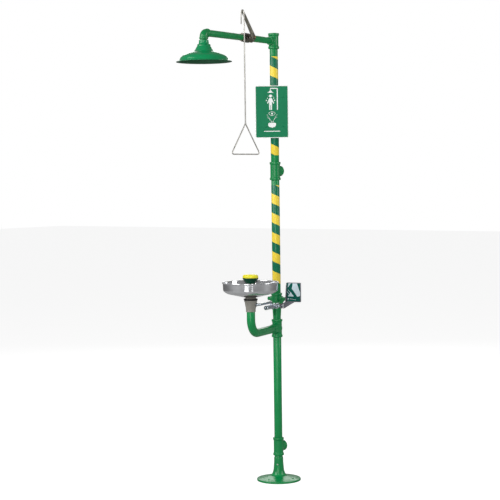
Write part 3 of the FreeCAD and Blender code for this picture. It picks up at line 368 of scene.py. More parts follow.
class Finish:
    """A material under construction, with a few words for its nodes."""

    def __init__(self, name):
        self.material = bpy.data.materials.new(name)
        self.material.use_nodes = True
        self.tree = self.material.node_tree
        self.shader = self.tree.nodes["Principled BSDF"]
        self.place = self.node("ShaderNodeTexCoord").outputs["Object"]

    def node(self, kind, **values):
        made = self.tree.nodes.new(kind)
        for key, value in values.items():
            setattr(made, key, value)
        return made

    def join(self, output, target):
        self.tree.links.new(output, target)

    def set(self, **values):
        for key, value in values.items():
            self.shader.inputs[key.replace("_", " ")].default_value = value
        return self

    def math(self, operation, a, b=None):
        made = self.node("ShaderNodeMath", operation=operation)
        for target, value in zip(made.inputs, (a, b)):
            if value is None:
                continue
            if isinstance(value, (int, float)):
                target.default_value = value
            else:
                self.join(value, target)
        return made.outputs[0]

    def noise(self, scale, detail=3.0, rough=0.55, stretch=None, place=None):
        source = place or self.place
        if stretch:
            mapping = self.node("ShaderNodeMapping")
            mapping.inputs["Scale"].default_value = stretch
            self.join(source, mapping.inputs["Vector"])
            source = mapping.outputs[0]
        made = self.node("ShaderNodeTexNoise")
        made.inputs["Scale"].default_value = scale
        made.inputs["Detail"].default_value = detail
        made.inputs["Roughness"].default_value = rough
        self.join(source, made.inputs["Vector"])
        return made.outputs["Fac"]

    def spread(self, source, low, high, start=0.3, end=0.7):
        made = self.node("ShaderNodeMapRange")
        for key, value in (("From Min", start), ("From Max", end), ("To Min", low), ("To Max", high)):
            made.inputs[key].default_value = value
        self.join(source, made.inputs["Value"])
        return made.outputs[0]

    def blend(self, factor, first, second):
        made = self.node("ShaderNodeMix", data_type="RGBA")
        self.join(factor, made.inputs["Factor"])
        for target, colour in ((made.inputs["A"], first), (made.inputs["B"], second)):
            if isinstance(colour, bpy.types.NodeSocket):
                self.join(colour, target)
            else:
                target.default_value = (*colour, 1)
        return made.outputs["Result"]

    def colour(self, source):
        self.join(source, self.shader.inputs["Base Color"])
        return self

    def roughness(self, source):
        self.join(source, self.shader.inputs["Roughness"])
        return self

    def bump(self, source, height, strength=1.0):
        made = self.node("ShaderNodeBump")
        made.inputs["Strength"].default_value = strength
        made.inputs["Distance"].default_value = height * MM
        self.join(source, made.inputs["Height"])
        previous = self.shader.inputs["Normal"].links
        if previous:
            self.join(previous[0].from_socket, made.inputs["Normal"])
        self.join(made.outputs[0], self.shader.inputs["Normal"])
        return self

    def from_axis(self, middle):
        """Distance from a vertical axis, height above its foot, and the x and y offsets from it."""
        mapping = self.node("ShaderNodeMapping")
        mapping.inputs["Location"].default_value = [-c for c in middle]
        self.join(self.place, mapping.inputs["Vector"])
        parts = self.node("ShaderNodeSeparateXYZ")
        self.join(mapping.outputs[0], parts.inputs[0])
        x, y, z = parts.outputs
        radius = self.math("SQRT", self.math("ADD", self.math("MULTIPLY", x, x), self.math("MULTIPLY", y, y)))
        return radius, z, x, y


def shade(colour, factor):
    return tuple(min(c * factor, 1) for c in colour)


def painted(name, colour, gloss=0.34):
    """Powder coat: fine orange peel, slight change of shade, thinner on edges."""
    f = Finish(name)
    f.set(Specular_IOR_Level=0.4, Coat_Weight=0.12, Coat_Roughness=0.12)
    cloud = f.noise(7, 4)
    tone = f.blend(f.spread(cloud, 0, 1), shade(colour, 0.86), shade(colour, 1.1))
    worn = f.node("ShaderNodeNewGeometry").outputs["Pointiness"]
    tone = f.blend(f.spread(worn, 0, 0.35, 0.53, 0.62), tone, shade(colour, 1.7))
    f.colour(tone)
    f.roughness(f.spread(f.noise(60, 5), gloss - 0.05, gloss + 0.08))
    f.bump(f.noise(900, 2), 0.01)
    f.bump(f.noise(140, 3), 0.03)
    return f.material


def moulded(name, colour, gloss=0.2, grain=0.02):
    """Injection moulded plastic: glossy skin with a faint flow in it."""
    f = Finish(name)
    f.set(Specular_IOR_Level=0.4, Coat_Weight=0.1, Coat_Roughness=0.08)
    f.colour(f.blend(f.spread(f.noise(12, 3), 0, 1), shade(colour, 0.9), shade(colour, 1.08)))
    f.roughness(f.spread(f.noise(90, 4), gloss, gloss + 0.1))
    f.bump(f.noise(700, 2), grain * 0.4)
    f.bump(f.noise(30, 2), grain * 4)
    return f.material


def metal(name, colour, rough, grain=0.02, tint=1.0, fine=600, streak=None):
    """Plated or bare metal with handling marks and a change of tone."""
    f = Finish(name)
    f.set(Metallic=1.0)
    cloud = f.noise(26, 5, 0.6)
    f.colour(f.blend(f.spread(cloud, 0, 1), shade(colour, 0.82 * tint), shade(colour, 1.08)))
    f.roughness(f.spread(f.noise(fine, 4, 0.6, streak), rough * 0.75, rough * 1.35))
    f.bump(f.noise(fine, 3, 0.55, streak), grain * 0.4)
    return f.material


def cast_metal(name, colour, rough=0.5):
    """Sand-cast metal: pebbled skin, darker in its pits."""
    f = Finish(name)
    f.set(Metallic=0.75)
    pits = f.noise(420, 5, 0.65)
    f.colour(f.blend(f.spread(pits, 0, 1), shade(colour, 0.7), shade(colour, 1.15)))
    f.roughness(f.spread(pits, rough * 0.8, rough * 1.2))
    f.bump(pits, 0.1)
    return f.material


def spun_steel(name, colour, middle, rough):
    """Bright spun steel: fine turned lines round the axis and broad, faint waves."""
    f = Finish(name)
    f.set(Metallic=1.0)
    radius, height, x, y = f.from_axis(middle)
    along = f.math("ADD", f.math("MULTIPLY", radius, 1.0), height)
    line = f.node("ShaderNodeCombineXYZ")
    f.join(along, line.inputs["X"])
    rings = f.noise(2600, 3, 0.7, place=line.outputs[0])
    broad = f.noise(90, 2, 0.5, place=line.outputs[0])
    smear = f.noise(14, 4, 0.6)
    f.colour(f.blend(f.spread(smear, 0, 1), shade(colour, 0.9), shade(colour, 1.06)))
    f.roughness(f.spread(rings, rough * 0.7, rough * 1.5))
    f.bump(rings, 0.0012)
    f.bump(broad, 0.015)
    return f.material


def striped(name, bright, dark, pitch, start, slope, facing_way):
    """Vinyl tape wound with slanted stripes; its seam is at the back."""
    f = Finish(name)
    f.set(Specular_IOR_Level=0.35, Coat_Weight=0.1, Coat_Roughness=0.1)
    turn = f.node("ShaderNodeMapping")
    turn.inputs["Rotation"].default_value = (0, 0, -math.radians(facing_way))
    f.join(f.place, turn.inputs["Vector"])
    parts = f.node("ShaderNodeSeparateXYZ")
    f.join(turn.outputs[0], parts.inputs[0])
    x, y, z = parts.outputs
    angle = f.math("ARCTAN2", x, f.math("MULTIPLY", y, -1))
    level = f.math("ADD", z, f.math("MULTIPLY", f.math("ADD", angle, math.pi / 2), slope / math.pi * MM))
    wander = f.math("MULTIPLY", f.math("SUBTRACT", f.noise(30, 2), 0.5), 0.0006)
    level = f.math("ADD", level, wander)
    phase = f.math("FRACT", f.math("DIVIDE", f.math("SUBTRACT", start * MM, level), pitch * MM))
    stripe = f.math("LESS_THAN", phase, 0.5)
    cloud = f.spread(f.noise(9, 4), 0, 1)
    yellow = f.blend(cloud, shade(bright, 0.92), shade(bright, 1.03))
    green = f.blend(cloud, shade(dark, 0.85), shade(dark, 1.15))
    f.colour(f.blend(stripe, green, yellow))
    f.roughness(f.spread(f.noise(45, 4), 0.24, 0.36))
    f.bump(f.noise(70, 3), 0.1)
    f.bump(stripe, 0.05)
    return f.material


def printed(name, colour, gloss=0.42):
    """Screen-printed sheet."""
    f = Finish(name)
    f.set(Specular_IOR_Level=0.25)
    f.colour(f.blend(f.spread(f.noise(10, 3), 0, 1), shade(colour, 0.95), shade(colour, 1.04)))
    f.roughness(f.spread(f.noise(50, 4), gloss, gloss + 0.1))
    f.bump(f.noise(500, 2), 0.015)
    return f.material


def rubber(name, colour):
    f = Finish(name)
    f.set(Specular_IOR_Level=0.3)
    f.colour(f.blend(f.spread(f.noise(60, 4), 0, 1), shade(colour, 0.7), shade(colour, 1.6)))
    f.roughness(f.spread(f.noise(200, 4), 0.55, 0.75))
    f.bump(f.noise(800, 3), 0.05)
    return f.material


def woven_screen(name, colour):
    f = Finish(name)
    f.set(Metallic=1.0)
    wires = f.node("ShaderNodeTexWave", wave_type="BANDS", bands_direction="DIAGONAL")
    wires.inputs["Scale"].default_value = 900
    f.join(f.place, wires.inputs["Vector"])
    f.colour(f.blend(wires.outputs["Fac"], shade(colour, 0.4), colour))
    f.roughness(f.spread(f.noise(300), 0.3, 0.5))
    f.bump(wires.outputs["Fac"], 0.2)
    return f.material


# ---------------------------------------------------------------- settings


def colour_prop(name, description, default):
    return FloatVectorProperty(
        name=name, description=description, default=default, subtype="COLOR", size=3, min=0, max=1
    )


def length_prop(name, description, default):
    return FloatProperty(name=name, description=description, default=default, unit="LENGTH", min=0)


class EyewashSizes(PropertyGroup):
    """Sizes that a maker would change."""

    pole_radius: length_prop("Pole radius", "Outside radius of the upright pipes", 0.0211)
    pole_wall: length_prop("Pole wall", "Wall of the upright pipes", 0.0036)
    body_radius: length_prop("Fitting radius", "Body radius of the pole's fittings", 0.0252)
    band_radius: length_prop("Band radius", "Radius of the bands on the pole's fittings", 0.0284)
    arm_radius: length_prop("Arm radius", "Outside radius of the shower arm", 0.0167)
    arm_height: length_prop("Arm height", "Height of the shower arm's axis", 2.287)
    arm_length: length_prop("Arm length", "Distance from the pole's axis to the shower head's", 0.589)
    line_radius: length_prop("Eyewash pipe radius", "Outside radius of the eyewash supply pipe", 0.01065)
    tube_radius: length_prop("Tube radius", "Outside radius of the eyewash tube", 0.00635)
    rod_radius: length_prop("Rod radius", "Radius of the pull rod", 0.003175)
    bowl_radius: length_prop("Bowl radius", "Radius of the bowl's wall", 0.139)
    sign_width: length_prop("Sign width", "Width of the sign", 0.170)
    sign_height: length_prop("Sign height", "Height of the sign", 0.268)
    stripe_pitch: length_prop("Stripe pitch", "Height of one yellow and one green stripe", 0.1005)


class EyewashFinishes(PropertyGroup):
    """Colours of the finishes."""

    pole_green: colour_prop("Pole green", "Powder coat of pipes and fittings", (0.0, 0.245, 0.062))
    head_green: colour_prop("Shower green", "Plastic of the shower head", (0.0, 0.26, 0.085))
    tape_yellow: colour_prop("Tape yellow", "Bright stripe of the tape", (0.95, 0.72, 0.06))
    tape_green: colour_prop("Tape green", "Dark stripe of the tape", (0.0, 0.16, 0.075))
    sign_green: colour_prop("Sign green", "Field of the sign", (0.0, 0.205, 0.085))
    sign_white: colour_prop("Sign white", "Figures and border of the sign", (0.92, 0.94, 0.93))
    cover_yellow: colour_prop("Cover yellow", "Plastic of the dust cover", (0.86, 0.78, 0.02))
    wash_green: colour_prop("Wash head green", "Plastic of the eyewash head", (0.0, 0.065, 0.03))
    drain_taupe: colour_prop("Drain taupe", "Plastic of the drain cone", (0.25, 0.24, 0.21))
    bowl_steel: colour_prop("Bowl steel", "Steel of the bowl", (0.74, 0.75, 0.77))
    # Chrome given a dark colour that stands in for the dark surroundings it reflects: painted dark reflection.
    valve_dark_reflection_colour: colour_prop("Valve metal", "Chrome of the shower valve, darkened as painted reflection", (0.17, 0.15, 0.13))
    lever_metal: colour_prop("Lever metal", "Dull steel of the lever", (0.24, 0.23, 0.19))
    rod_metal: colour_prop("Rod metal", "Drawn steel of the pull rod", (0.62, 0.60, 0.56))
    chrome: colour_prop("Chrome", "Plate of the eyewash valve and tube", (0.62, 0.68, 0.74))
    flag_grey: colour_prop("Flag grey", "Casting of the push flag", (0.22, 0.22, 0.25))
    flag_teal: colour_prop("Flag teal", "Field of the push flag's label", (0.0, 0.1, 0.075))


class EyewashStage(PropertyGroup):
    """Where the camera stands."""

    azimuth: FloatProperty(name="Azimuth", description="Way the camera looks, turned from +Y", default=math.radians(36), subtype="ANGLE")
    distance: length_prop("Distance", "Camera to pole, on the ground", 7.4)
    height: length_prop("Height", "Camera height", 1.585)
    pitch: FloatProperty(name="Pitch", description="Tilt of the view, down from level", default=math.radians(2.915), subtype="ANGLE")
    roll: FloatProperty(name="Roll", description="Turn of the view about its own axis", default=math.radians(0.75), subtype="ANGLE")
    aside: FloatProperty(name="Aside", description="How far right of the view's middle the pole stands", default=0.136, unit="LENGTH")
    lens: FloatProperty(name="Lens", description="Focal length", default=102.5, min=20, max=300)
    ambient: FloatProperty(name="Ambient", description="Light that comes from all round", default=0.28, min=0, max=2)


def settings():
    scene = bpy.context.scene
    return scene.eyewash_sizes, scene.eyewash_finishes, scene.eyewash_stage


FINISH_MAKERS = {
    "pole_green": lambda c: painted("pole_green", c.pole_green, 0.3),
    "head_green": lambda c: moulded("head_green", c.head_green, 0.16),
    # Painted shade: a darker copy of the shower green, for faces that look down.
    "head_green_painted_shade": lambda c: moulded("head_green_painted_shade", shade(c.head_green, 0.3), 0.45),
    "sign_face": lambda c: printed("sign_face", c.sign_green),
    "sign_white": lambda c: printed("sign_white", c.sign_white, 0.35),
    "zinc_steel": lambda c: metal("zinc_steel", (0.6, 0.6, 0.58), 0.38, 0.03),
    # Painted dark reflection: the valve's chrome darkened for the dark surroundings it reflects.
    "dark_valve": lambda c: metal("dark_valve", c.valve_dark_reflection_colour, 0.26, 0.05, 0.7, 300),
    "ball_chrome": lambda c: metal("ball_chrome", (0.75, 0.75, 0.76), 0.08, 0.003),
    "seat_white": lambda c: moulded("seat_white", (0.82, 0.82, 0.8), 0.4),
    "stem_brass": lambda c: metal("stem_brass", (0.55, 0.4, 0.2), 0.3, 0.02),
    "lever_steel": lambda c: metal("lever_steel", c.lever_metal, 0.42, 0.08, 0.75, 260, (1, 1, 0.2)),
    "rod_steel": lambda c: metal("rod_steel", c.rod_metal, 0.42, 0.02, 0.9, 900, (1, 1, 0.02)),
    "gasket_black": lambda c: rubber("gasket_black", (0.012, 0.012, 0.013)),
    "drain_grey": lambda c: moulded("drain_grey", c.drain_taupe, 0.42, 0.05),
    "wash_green": lambda c: moulded("wash_green", c.wash_green, 0.24),
    "cover_yellow": lambda c: moulded("cover_yellow", c.cover_yellow, 0.28),
    "line_chrome": lambda c: metal("line_chrome", c.chrome, 0.16, 0.01, 0.9),
    "screen_steel": lambda c: woven_screen("screen_steel", (0.55, 0.55, 0.55)),
    "flag_cast": lambda c: cast_metal("flag_cast", c.flag_grey),
    "flag_print": lambda c: printed("flag_print", c.flag_teal, 0.22),
    "flag_pale": lambda c: printed("flag_pale", (0.6, 0.72, 0.78), 0.3),
}
made_finishes = {}


def finish(name):
    """A finish by name, made once."""
    if name not in made_finishes:
        made_finishes[name] = FINISH_MAKERS[name](bpy.context.scene.eyewash_finishes)
    return made_finishes[name]


# ---------------------------------------------------------------- the pole and its fittings

FLANGE_TOP = 122
WASTE, DRAIN, FEED, SUPPLY, TOP = 177, 799, 953, 1617, 2287
TEE_REACH = 47
THREAD = 18
BOWL_TURN = 11
BOWL_AXIS = about_pole(BOWL_TURN) @ at(0, -321, 0)
WASH_SIDE = about_pole(BOWL_TURN)
LINE_X, LINE_Z = 46, 926
PORT_Z = 949.5
RIM_Z = 1063
CONE_Z = RIM_Z - 150


def banded_leg(body, band, width, reach):
    """Outline of one limb of a cast fitting, ending in a band."""
    return [
        (0, 0), (body, 0), (body, reach - width - 3), (band, reach - width),
        (band, reach, 1.6), (0, reach),
    ]


def pole_leg(reach, way, place):
    return lathe(banded_leg(25.2, 28.4, 11, reach), place @ facing(way))


def arm_leg(reach, way, place):
    return lathe(banded_leg(19.8, 21.9, 9.5, reach), place @ facing(way))


def threaded_bore(place, reach):
    """What is cut from an open limb: the bore and its threaded socket."""
    outline = [(0, reach - 40), (17.5, reach - 40), (17.5, reach - THREAD, 0)]
    turns = 7
    pitch = THREAD / turns
    for k in range(turns):
        foot = reach - THREAD + k * pitch
        outline += [(21.2, foot, 0), (20.1, foot + pitch / 2, 0)]
    outline += [(21.2, reach + 1, 0), (0, reach + 1)]
    return lathe(outline, place, edge=0)


class EYEWASH_OT_flange(Operator):
    """Floor flange with its bolt holes and set screw"""

    bl_idname = "eyewash.flange"
    bl_label = "Floor flange"

    def execute(self, context):
        outline = [
            (0, 6), (46, 6), (50, 0), (114.5, 0), (114.5, 9, 3), (86, 15.5, 8), (60, 20, 8), (39, 26, 8),
            (28.5, 44, 14), (24.2, 96, 10), (24.2, FLANGE_TOP - 6), (22.6, FLANGE_TOP, 1.2),
            (21.15, FLANGE_TOP, 0.2), (21.15, 14, 0), (0, 14),
        ]
        holes = [
            lathe([(0, -2), (5.75, -2), (5.75, 30), (0, 30)], about_pole(90 * k) @ at(89, 0, 0), 32, 0)
            for k in range(4)
        ]
        screw = about_pole(21) @ at(0, 0, 85) @ facing(FRONT)
        holes.append(lathe([(0, 15), (4.1, 15), (4.1, 60), (0, 60)], screw, 32, 0))
        body = carve(lathe(outline, steps=128), *holes)
        soften(body, sharp_edges(body, 60), 0.6, 2)
        piece("floor_flange_casting", body, finish("pole_green"), STATION, ["floor_flange"])
        cup = lathe(
            [(0, 0), (4, 0), (4, 8.3, 0.5), (2.2, 8.3, 0.2), (2.2, 5, 0), (0, 5)], screw @ at(0, 0, 21.3), 40, 0.2
        )
        piece("flange_grub_screw", cup, finish("zinc_steel"), STATION, ["flange_set_screw"])
        return {"FINISHED"}


class EYEWASH_OT_pole_pipes(Operator):
    """Straight pipes of the pole"""

    bl_idname = "eyewash.pole_pipes"
    bl_label = "Pole pipes"

    def execute(self, context):
        sizes, _, _ = settings()
        radius, wall = sizes.pole_radius / MM, sizes.pole_wall / MM
        engaged = TEE_REACH - THREAD
        spans = {
            "base_pipe": (14, WASTE - engaged),
            "lower_pole_pipe": (WASTE + engaged, DRAIN - engaged),
            "lower_riser": (FEED + 30 - THREAD, SUPPLY - engaged),
            "upper_riser": (SUPPLY + engaged, TOP - 40 + THREAD),
        }
        for name, (low, high) in spans.items():
            tube = pipe(radius, wall, high - low, at(0, 0, low), 96)
            piece(name + "_tube", tube, finish("pole_green"), STATION, [name])
        return {"FINISHED"}


class EYEWASH_OT_tees(Operator):
    """Cast fittings of the pole: two open tees, the drain tee, the feed fitting and the top tee"""

    bl_idname = "eyewash.tees"
    bl_label = "Pole fittings"

    def execute(self, context):
        green = finish("pole_green")
        for name, height in (("waste_tee", WASTE), ("supply_tee", SUPPLY)):
            place = at(0, 0, height)
            body = cast([
                pole_leg(TEE_REACH, UP, place), pole_leg(TEE_REACH, DOWN, place), pole_leg(42, BACK, place)
            ])
            body = carve(body, threaded_bore(place @ facing(BACK), 42))
            piece(name + "_casting", body, green, STATION, [name])

        place = WASH_SIDE @ at(0, 0, DRAIN)
        flare = [
            (0, 0), (30.5, 0), (30.5, 14), (28.4, 26), (26, 36), (24.6, 46), (24.1, 58, 1.2), (0, 58)
        ]
        body = cast([
            pole_leg(TEE_REACH, UP, place), pole_leg(TEE_REACH, DOWN, place),
            lathe(flare, place @ facing(FRONT)),
        ], passes=7)
        piece("drain_tee_casting", body, green, STATION, ["drain_tee"])

        place = WASH_SIDE @ at(0, 0, FEED)
        tail = [(0, -128), (21.0, -128), (21.0, -111), (19.8, -109), (24.3, -28), (0, -28)]
        shapes = [
            pole_leg(30, UP, place), pole_leg(30, DOWN, place), lathe(tail, place),
            lathe([(0, 0), (15.4, 0), (15.4, 24), (14, 27), (14, 34, 1.2), (0, 34)], place @ facing(RIGHT)),
            lathe([(0, 0), (15.4, 0), (15.4, 24), (14, 27), (14, 34, 1.2), (0, 34)], place @ facing(LEFT)),
        ]
        body = cast(shapes, passes=5)
        slot = [(-6.5, -19), (6.5, -19), (6.5, 19), (-6.5, 19)]
        recess = plate(slot, 24, place @ at(0, -27, 886 - FEED) @ facing(FRONT), 6.4, 0)
        body = carve(body, recess)
        piece("feed_fitting_casting", body, green, STATION, ["feed_fitting"])
        plug = together([
            lathe([(0, 0), (10.6, 0), (10.6, 18), (0, 18)], place @ at(-16, 0, 0) @ facing(LEFT)),
            hex_nut(20.2, 15, place @ at(-34, 0, 0) @ facing(LEFT), foot=False),
        ])
        piece("feed_hex_plug", plug, green, STATION, ["feed_plug"])

        place = at(0, 0, TOP)
        body = cast([pole_leg(40, UP, place), pole_leg(40, DOWN, place), arm_leg(40, FRONT, place)], passes=6)
        well = lathe([(0, 22), (21.2, 22), (21.2, 41), (0, 41)], place, edge=0)
        piece("top_tee_casting", carve(body, well), green, STATION, ["top_tee"])
        keep_node("top_plug", green)
        keep_node("blanking_disc", finish("zinc_steel"))
        return {"FINISHED"}


class EYEWASH_OT_tapes(Operator):
    """Striped warning tape on both risers"""

    bl_idname = "eyewash.tapes"
    bl_label = "Striped tape"

    def execute(self, context):
        sizes, colours, _ = settings()
        pitch = sizes.stripe_pitch / MM
        for name, low, high, start in (("lower_tape", 1030, 1543, 1507), ("upper_tape", 1698, 2207, 2165)):
            vinyl = striped(name, colours.tape_yellow, colours.tape_green, pitch, start, 29, 36)
            sleeve = lathe([(21.1, 0), (21.5, 0), (21.5, high - low), (21.1, high - low)], at(0, 0, low), 96, 0.12)
            piece(name + "_sleeve", sleeve, vinyl, STATION, [name])
        return {"FINISHED"}


# ---------------------------------------------------------------- the sign

SIGN_FACE = about_pole(36) @ at(-14, -32, 1922) @ facing(FRONT)


def print_layer(outline, place=Matrix(), corner=0.0, corners=None):
    """A printed figure, a hair proud of the sign; x runs across it and y up it."""
    return plate(outline, 0.5, SIGN_FACE @ place @ at(0, 0, 0.1), corner, 0, corners)


def disc(radius, x, y, stretch=1.0, turn=0.0):
    shape = bmesh.new()
    bmesh.ops.create_cone(
        shape, cap_ends=True, segments=40, radius1=radius * MM, radius2=radius * MM, depth=0.5 * MM
    )
    bmesh.ops.scale(shape, vec=(1, stretch, 1), verts=shape.verts)
    place = SIGN_FACE @ at(x, y, 0.1) @ Matrix.Rotation(math.radians(turn), 4, "Z")
    return place_shape(shape, place)


def stroke(points, width):
    """A line of the drawing, with round ends, as the run of a flat pen."""
    shapes = []
    for (x0, y0), (x1, y1) in zip(points, points[1:]):
        long = math.hypot(x1 - x0, y1 - y0)
        turn = Matrix.Rotation(math.atan2(y1 - y0, x1 - x0), 4, "Z")
        bar = [(0, -width / 2), (long, -width / 2), (long, width / 2), (0, width / 2)]
        shapes.append(print_layer(bar, at(x0, y0, 0) @ turn))
    shapes += [disc(width / 2, x, y) for x, y in points]
    return shapes


def arc_points(x, y, radius, start, end, count=7):
    turns = (math.radians(start + (end - start) * k / (count - 1)) for k in range(count))
    return [(x + radius * math.cos(t), y + radius * math.sin(t)) for t in turns]


class EYEWASH_OT_sign(Operator):
    """Sign plate with plain figures of a shower and an eyewash, its clamps and screws"""

    bl_idname = "eyewash.sign"
    bl_label = "Sign"

    def execute(self, context):
        sizes, _, _ = settings()
        half = sizes.sign_width / MM / 2
        tall = sizes.sign_height / MM / 2
        edge = [(-half, -tall), (half, -tall), (half, tall), (-half, tall)]
        sheet = plate(edge, 2, SIGN_FACE @ at(0, 0, -1), 6, 0.3)
        holes = [
            lathe([(0, -4), (2.7, -4), (2.7, 4), (0, 4)], SIGN_FACE @ at(14 + side * 44, level * 75, 0), 24, 0)
            for side in (-1, 1) for level in (-1, 1)
        ]
        piece("sign_sheet", carve(sheet, *holes), finish("sign_white"), STATION, ["sign_plate"])
        inner = [(-half + 3, -tall + 3), (half - 3, -tall + 3), (half - 3, tall - 3), (-half + 3, tall - 3)]
        field = plate(inner, 0.2, SIGN_FACE @ at(0, 0, 0.05), 4, 0)
        piece("sign_field", field, finish("sign_face"), STATION, [])

        shapes = stroke([(-6, 120), (29, 120), (29, 12)], 5.2)
        shapes += stroke([(-6, 120), (-6, 110)], 4)
        shapes.append(print_layer([(-22, 98), (10, 98), (1, 104), (-3.5, 112), (-8.5, 112), (-13, 104)], corner=1.2))
        shapes.append(disc(7.6, -6, 81))
        torso = [(-12, 70), (0, 70), (12, 45), (8, 41), (1, 54), (1, 10), (-4.8, 10), (-4.8, 34), (-7.2, 34),
                 (-7.2, 10), (-13, 10), (-13, 54), (-20, 41), (-24, 45)]
        shapes.append(print_layer(torso, corner=1.5))
        for x, y, size in ((21, 59, 2.8), (16, 70, 2.2), (11.5, 80, 1.5)):
            shapes += [disc(size, -6 + side * x, y, 1.2) for side in (-1, 1)]
        shapes += stroke(arc_points(0.5, -18.4, 19.4, 151, 29, 11), 2)
        shapes += stroke(arc_points(0.5, 0.4, 19.4, 209, 331, 11), 2)
        shapes.append(disc(4.6, 0.5, -9))
        for side in (-1, 1):
            for foot, start, end in ((3.5, -14, 27), (1.2, -26, 25)):
                jet = [
                    (0.5 + side * (foot + (end - foot) * t), -55 + (start + 55) * (1.45 * t - 0.45 * t * t))
                    for t in (0, 0.2, 0.4, 0.6, 0.8, 1)
                ]
                shapes += stroke(jet, 1.3)
        basin = [(-19, -72), (-20, -60), (-14, -57), (15, -57), (21, -60), (20, -72), (13, -79), (3, -80), (0.5, -84),
                 (-2, -80), (-12, -79)]
        shapes.append(print_layer(basin, corner=3))
        shapes += stroke([(-40, -100), (40, -100)], 4)
        piece("sign_figures", together(shapes), finish("sign_white"), STATION, [])

        keep_node("sign_clamps", finish("zinc_steel"))
        keep_node("sign_screws", finish("sign_face"))
        return {"FINISHED"}


# ---------------------------------------------------------------- the shower

VALVE_Y = -236
LEVER_X = 42
LEVER_RISE = math.radians(53)
LEVER = 154
SHOWER_VALVE = at(0, VALVE_Y, TOP)


def valve_body(half, barrel, hexagon, neck, boss, boss_reach, place, grain):
    """Forged ball valve body: barrel, necks, stem boss and one hexagon."""
    shapes = [
        lathe([
            (0, -barrel * 0.95), (barrel * 0.82, -barrel * 0.95), (barrel * 0.97, -barrel * 0.6),
            (barrel, 0), (barrel * 0.97, barrel * 0.6), (barrel * 0.82, barrel * 0.95), (neck, barrel * 1.12),
            (neck, half - 4), (0, half - 4),
        ], place @ facing(BACK)),
        lathe([(0, 0), (boss * 1.5, 0), (boss * 1.35, barrel * 0.95), (boss, barrel * 1.1), (boss, boss_reach), (0, boss_reach)],
              place @ facing(RIGHT)),
        hex_nut(hexagon, half * 0.36, place @ at(0, half * 0.64, 0) @ facing(BACK), 1.4),
    ]
    return cast(shapes, grain, 3)


class EYEWASH_OT_arm(Operator):
    """Shower arm: nipple, pipe, elbow and drop"""

    bl_idname = "eyewash.arm"
    bl_label = "Shower arm"

    def execute(self, context):
        green = finish("pole_green")
        runs = {"arm_nipple": (25, 205), "arm_pipe": (267, 572)}
        for name, (near, far) in runs.items():
            tube = pipe(16.7, 3.4, far - near, at(0, -near, TOP) @ facing(FRONT), 80)
            piece(name + "_tube", tube, green, STATION, [name])
        place = at(0, -589, TOP)
        sweep = bent_bar([(0, 30, 0), (0, 0, 0), (0, 0, -30)], [20], 19.9, 64, 16)
        bands = [
            lathe([(0, 21), (20, 21), (21.9, 23), (21.9, 32, 1.6), (0, 32)], place @ facing(way)) for way in (BACK, DOWN)
        ]
        elbow = cast([place_shape(sweep, place), *bands], passes=4)
        piece("arm_elbow_casting", elbow, green, STATION, ["arm_elbow"])
        drop = pipe(16.7, 3.4, 30, at(0, -589, 2240), 80)
        piece("drop_nipple_tube", drop, green, STATION, ["drop_nipple"])
        return {"FINISHED"}


class EYEWASH_OT_shower_valve(Operator):
    """Stay-open ball valve of the shower, with its stem, ball and seats"""

    bl_idname = "eyewash.shower_valve"
    bl_label = "Shower valve"

    def execute(self, context):
        # The valve's chrome is given a dark colour as painted dark reflection.
        dark = finish("dark_valve")
        body = valve_body(46, 24.5, 43.8, 17.5, 10.5, 33, SHOWER_VALVE, 0.8)
        piece("shower_valve_forging", body, dark, STATION, ["shower_valve_body"])
        end = together([
            hex_nut(43.8, 22, SHOWER_VALVE @ at(0, -24, 0) @ facing(FRONT), 1.6),
            lathe([(0, 20), (20, 20), (20, 25), (0, 25)], SHOWER_VALVE @ facing(FRONT)),
        ])
        piece("shower_valve_cap", end, dark, STATION, ["shower_valve_end"])
        gland = hex_nut(21.5, 7.5, SHOWER_VALVE @ at(33, 0, 0) @ facing(RIGHT), 1)
        piece("shower_gland", gland, dark, STATION, ["shower_packing_nut"])
        keep_node("shower_valve_ball", finish("ball_chrome"))
        keep_node("shower_valve_seats", finish("seat_white"))
        stem = together([
            lathe([(0, 18.5), (5, 18.5), (5, 33.5), (5, 54, 0.8), (0, 54)], SHOWER_VALVE @ facing(RIGHT), 40),
        ])
        piece("shower_stem", stem, finish("stem_brass"), HANDLE, ["shower_valve_stem"])
        return {"FINISHED"}


class EYEWASH_OT_lever(Operator):
    """Pull lever and the nut that holds it"""

    bl_idname = "eyewash.lever"
    bl_label = "Pull lever"

    def execute(self, context):
        along = Vector((0, -math.cos(LEVER_RISE), math.sin(LEVER_RISE)))
        side = Vector((1, 0, 0)).cross(along)
        turn = Matrix((along, side, Vector((1, 0, 0)))).transposed().to_4x4()
        place = SHOWER_VALVE @ at(LEVER_X + 2, 0, 0) @ turn
        blade = [(-14.6, -5), (-8, -12), (0, -14.6), (14, -13.8), (LEVER, -8.5), (LEVER + 6, -6), (LEVER + 8.4, 0),
                 (LEVER + 6, 6), (LEVER, 8.5), (14, 13.8), (0, 14.6), (-8, 12), (-14.6, 5)]
        body = plate(blade, 4, corner=3, edge=0)
        eye = lathe([(0, -4), (3.78, -4), (3.78, 4), (0, 4)], at(LEVER, 0, 0), 40, 0)
        fuller = plate([(24, -7), (134, -3.6), (134, 3.6), (24, 7)], 1.2, at(0, 0, 2), 3, 0)
        body = carve(body, eye, fuller)
        soften(body, sharp_edges(body, 50), 0.45, 2)
        piece("pull_lever_blade", place_shape(body, place), finish("lever_steel"), HANDLE, ["shower_lever"])
        nut = together([
            hex_nut(18, 6, SHOWER_VALVE @ at(46, 0, 0) @ facing(RIGHT), 1),
            lathe([(0, 0), (9.8, 0), (9.8, 1.1), (0, 1.1)], SHOWER_VALVE @ at(46, 0, 0) @ facing(RIGHT), 48, 0.2),
        ])
        piece("lever_lock_nut", nut, finish("dark_valve"), HANDLE, ["lever_nut"])
        return {"FINISHED"}


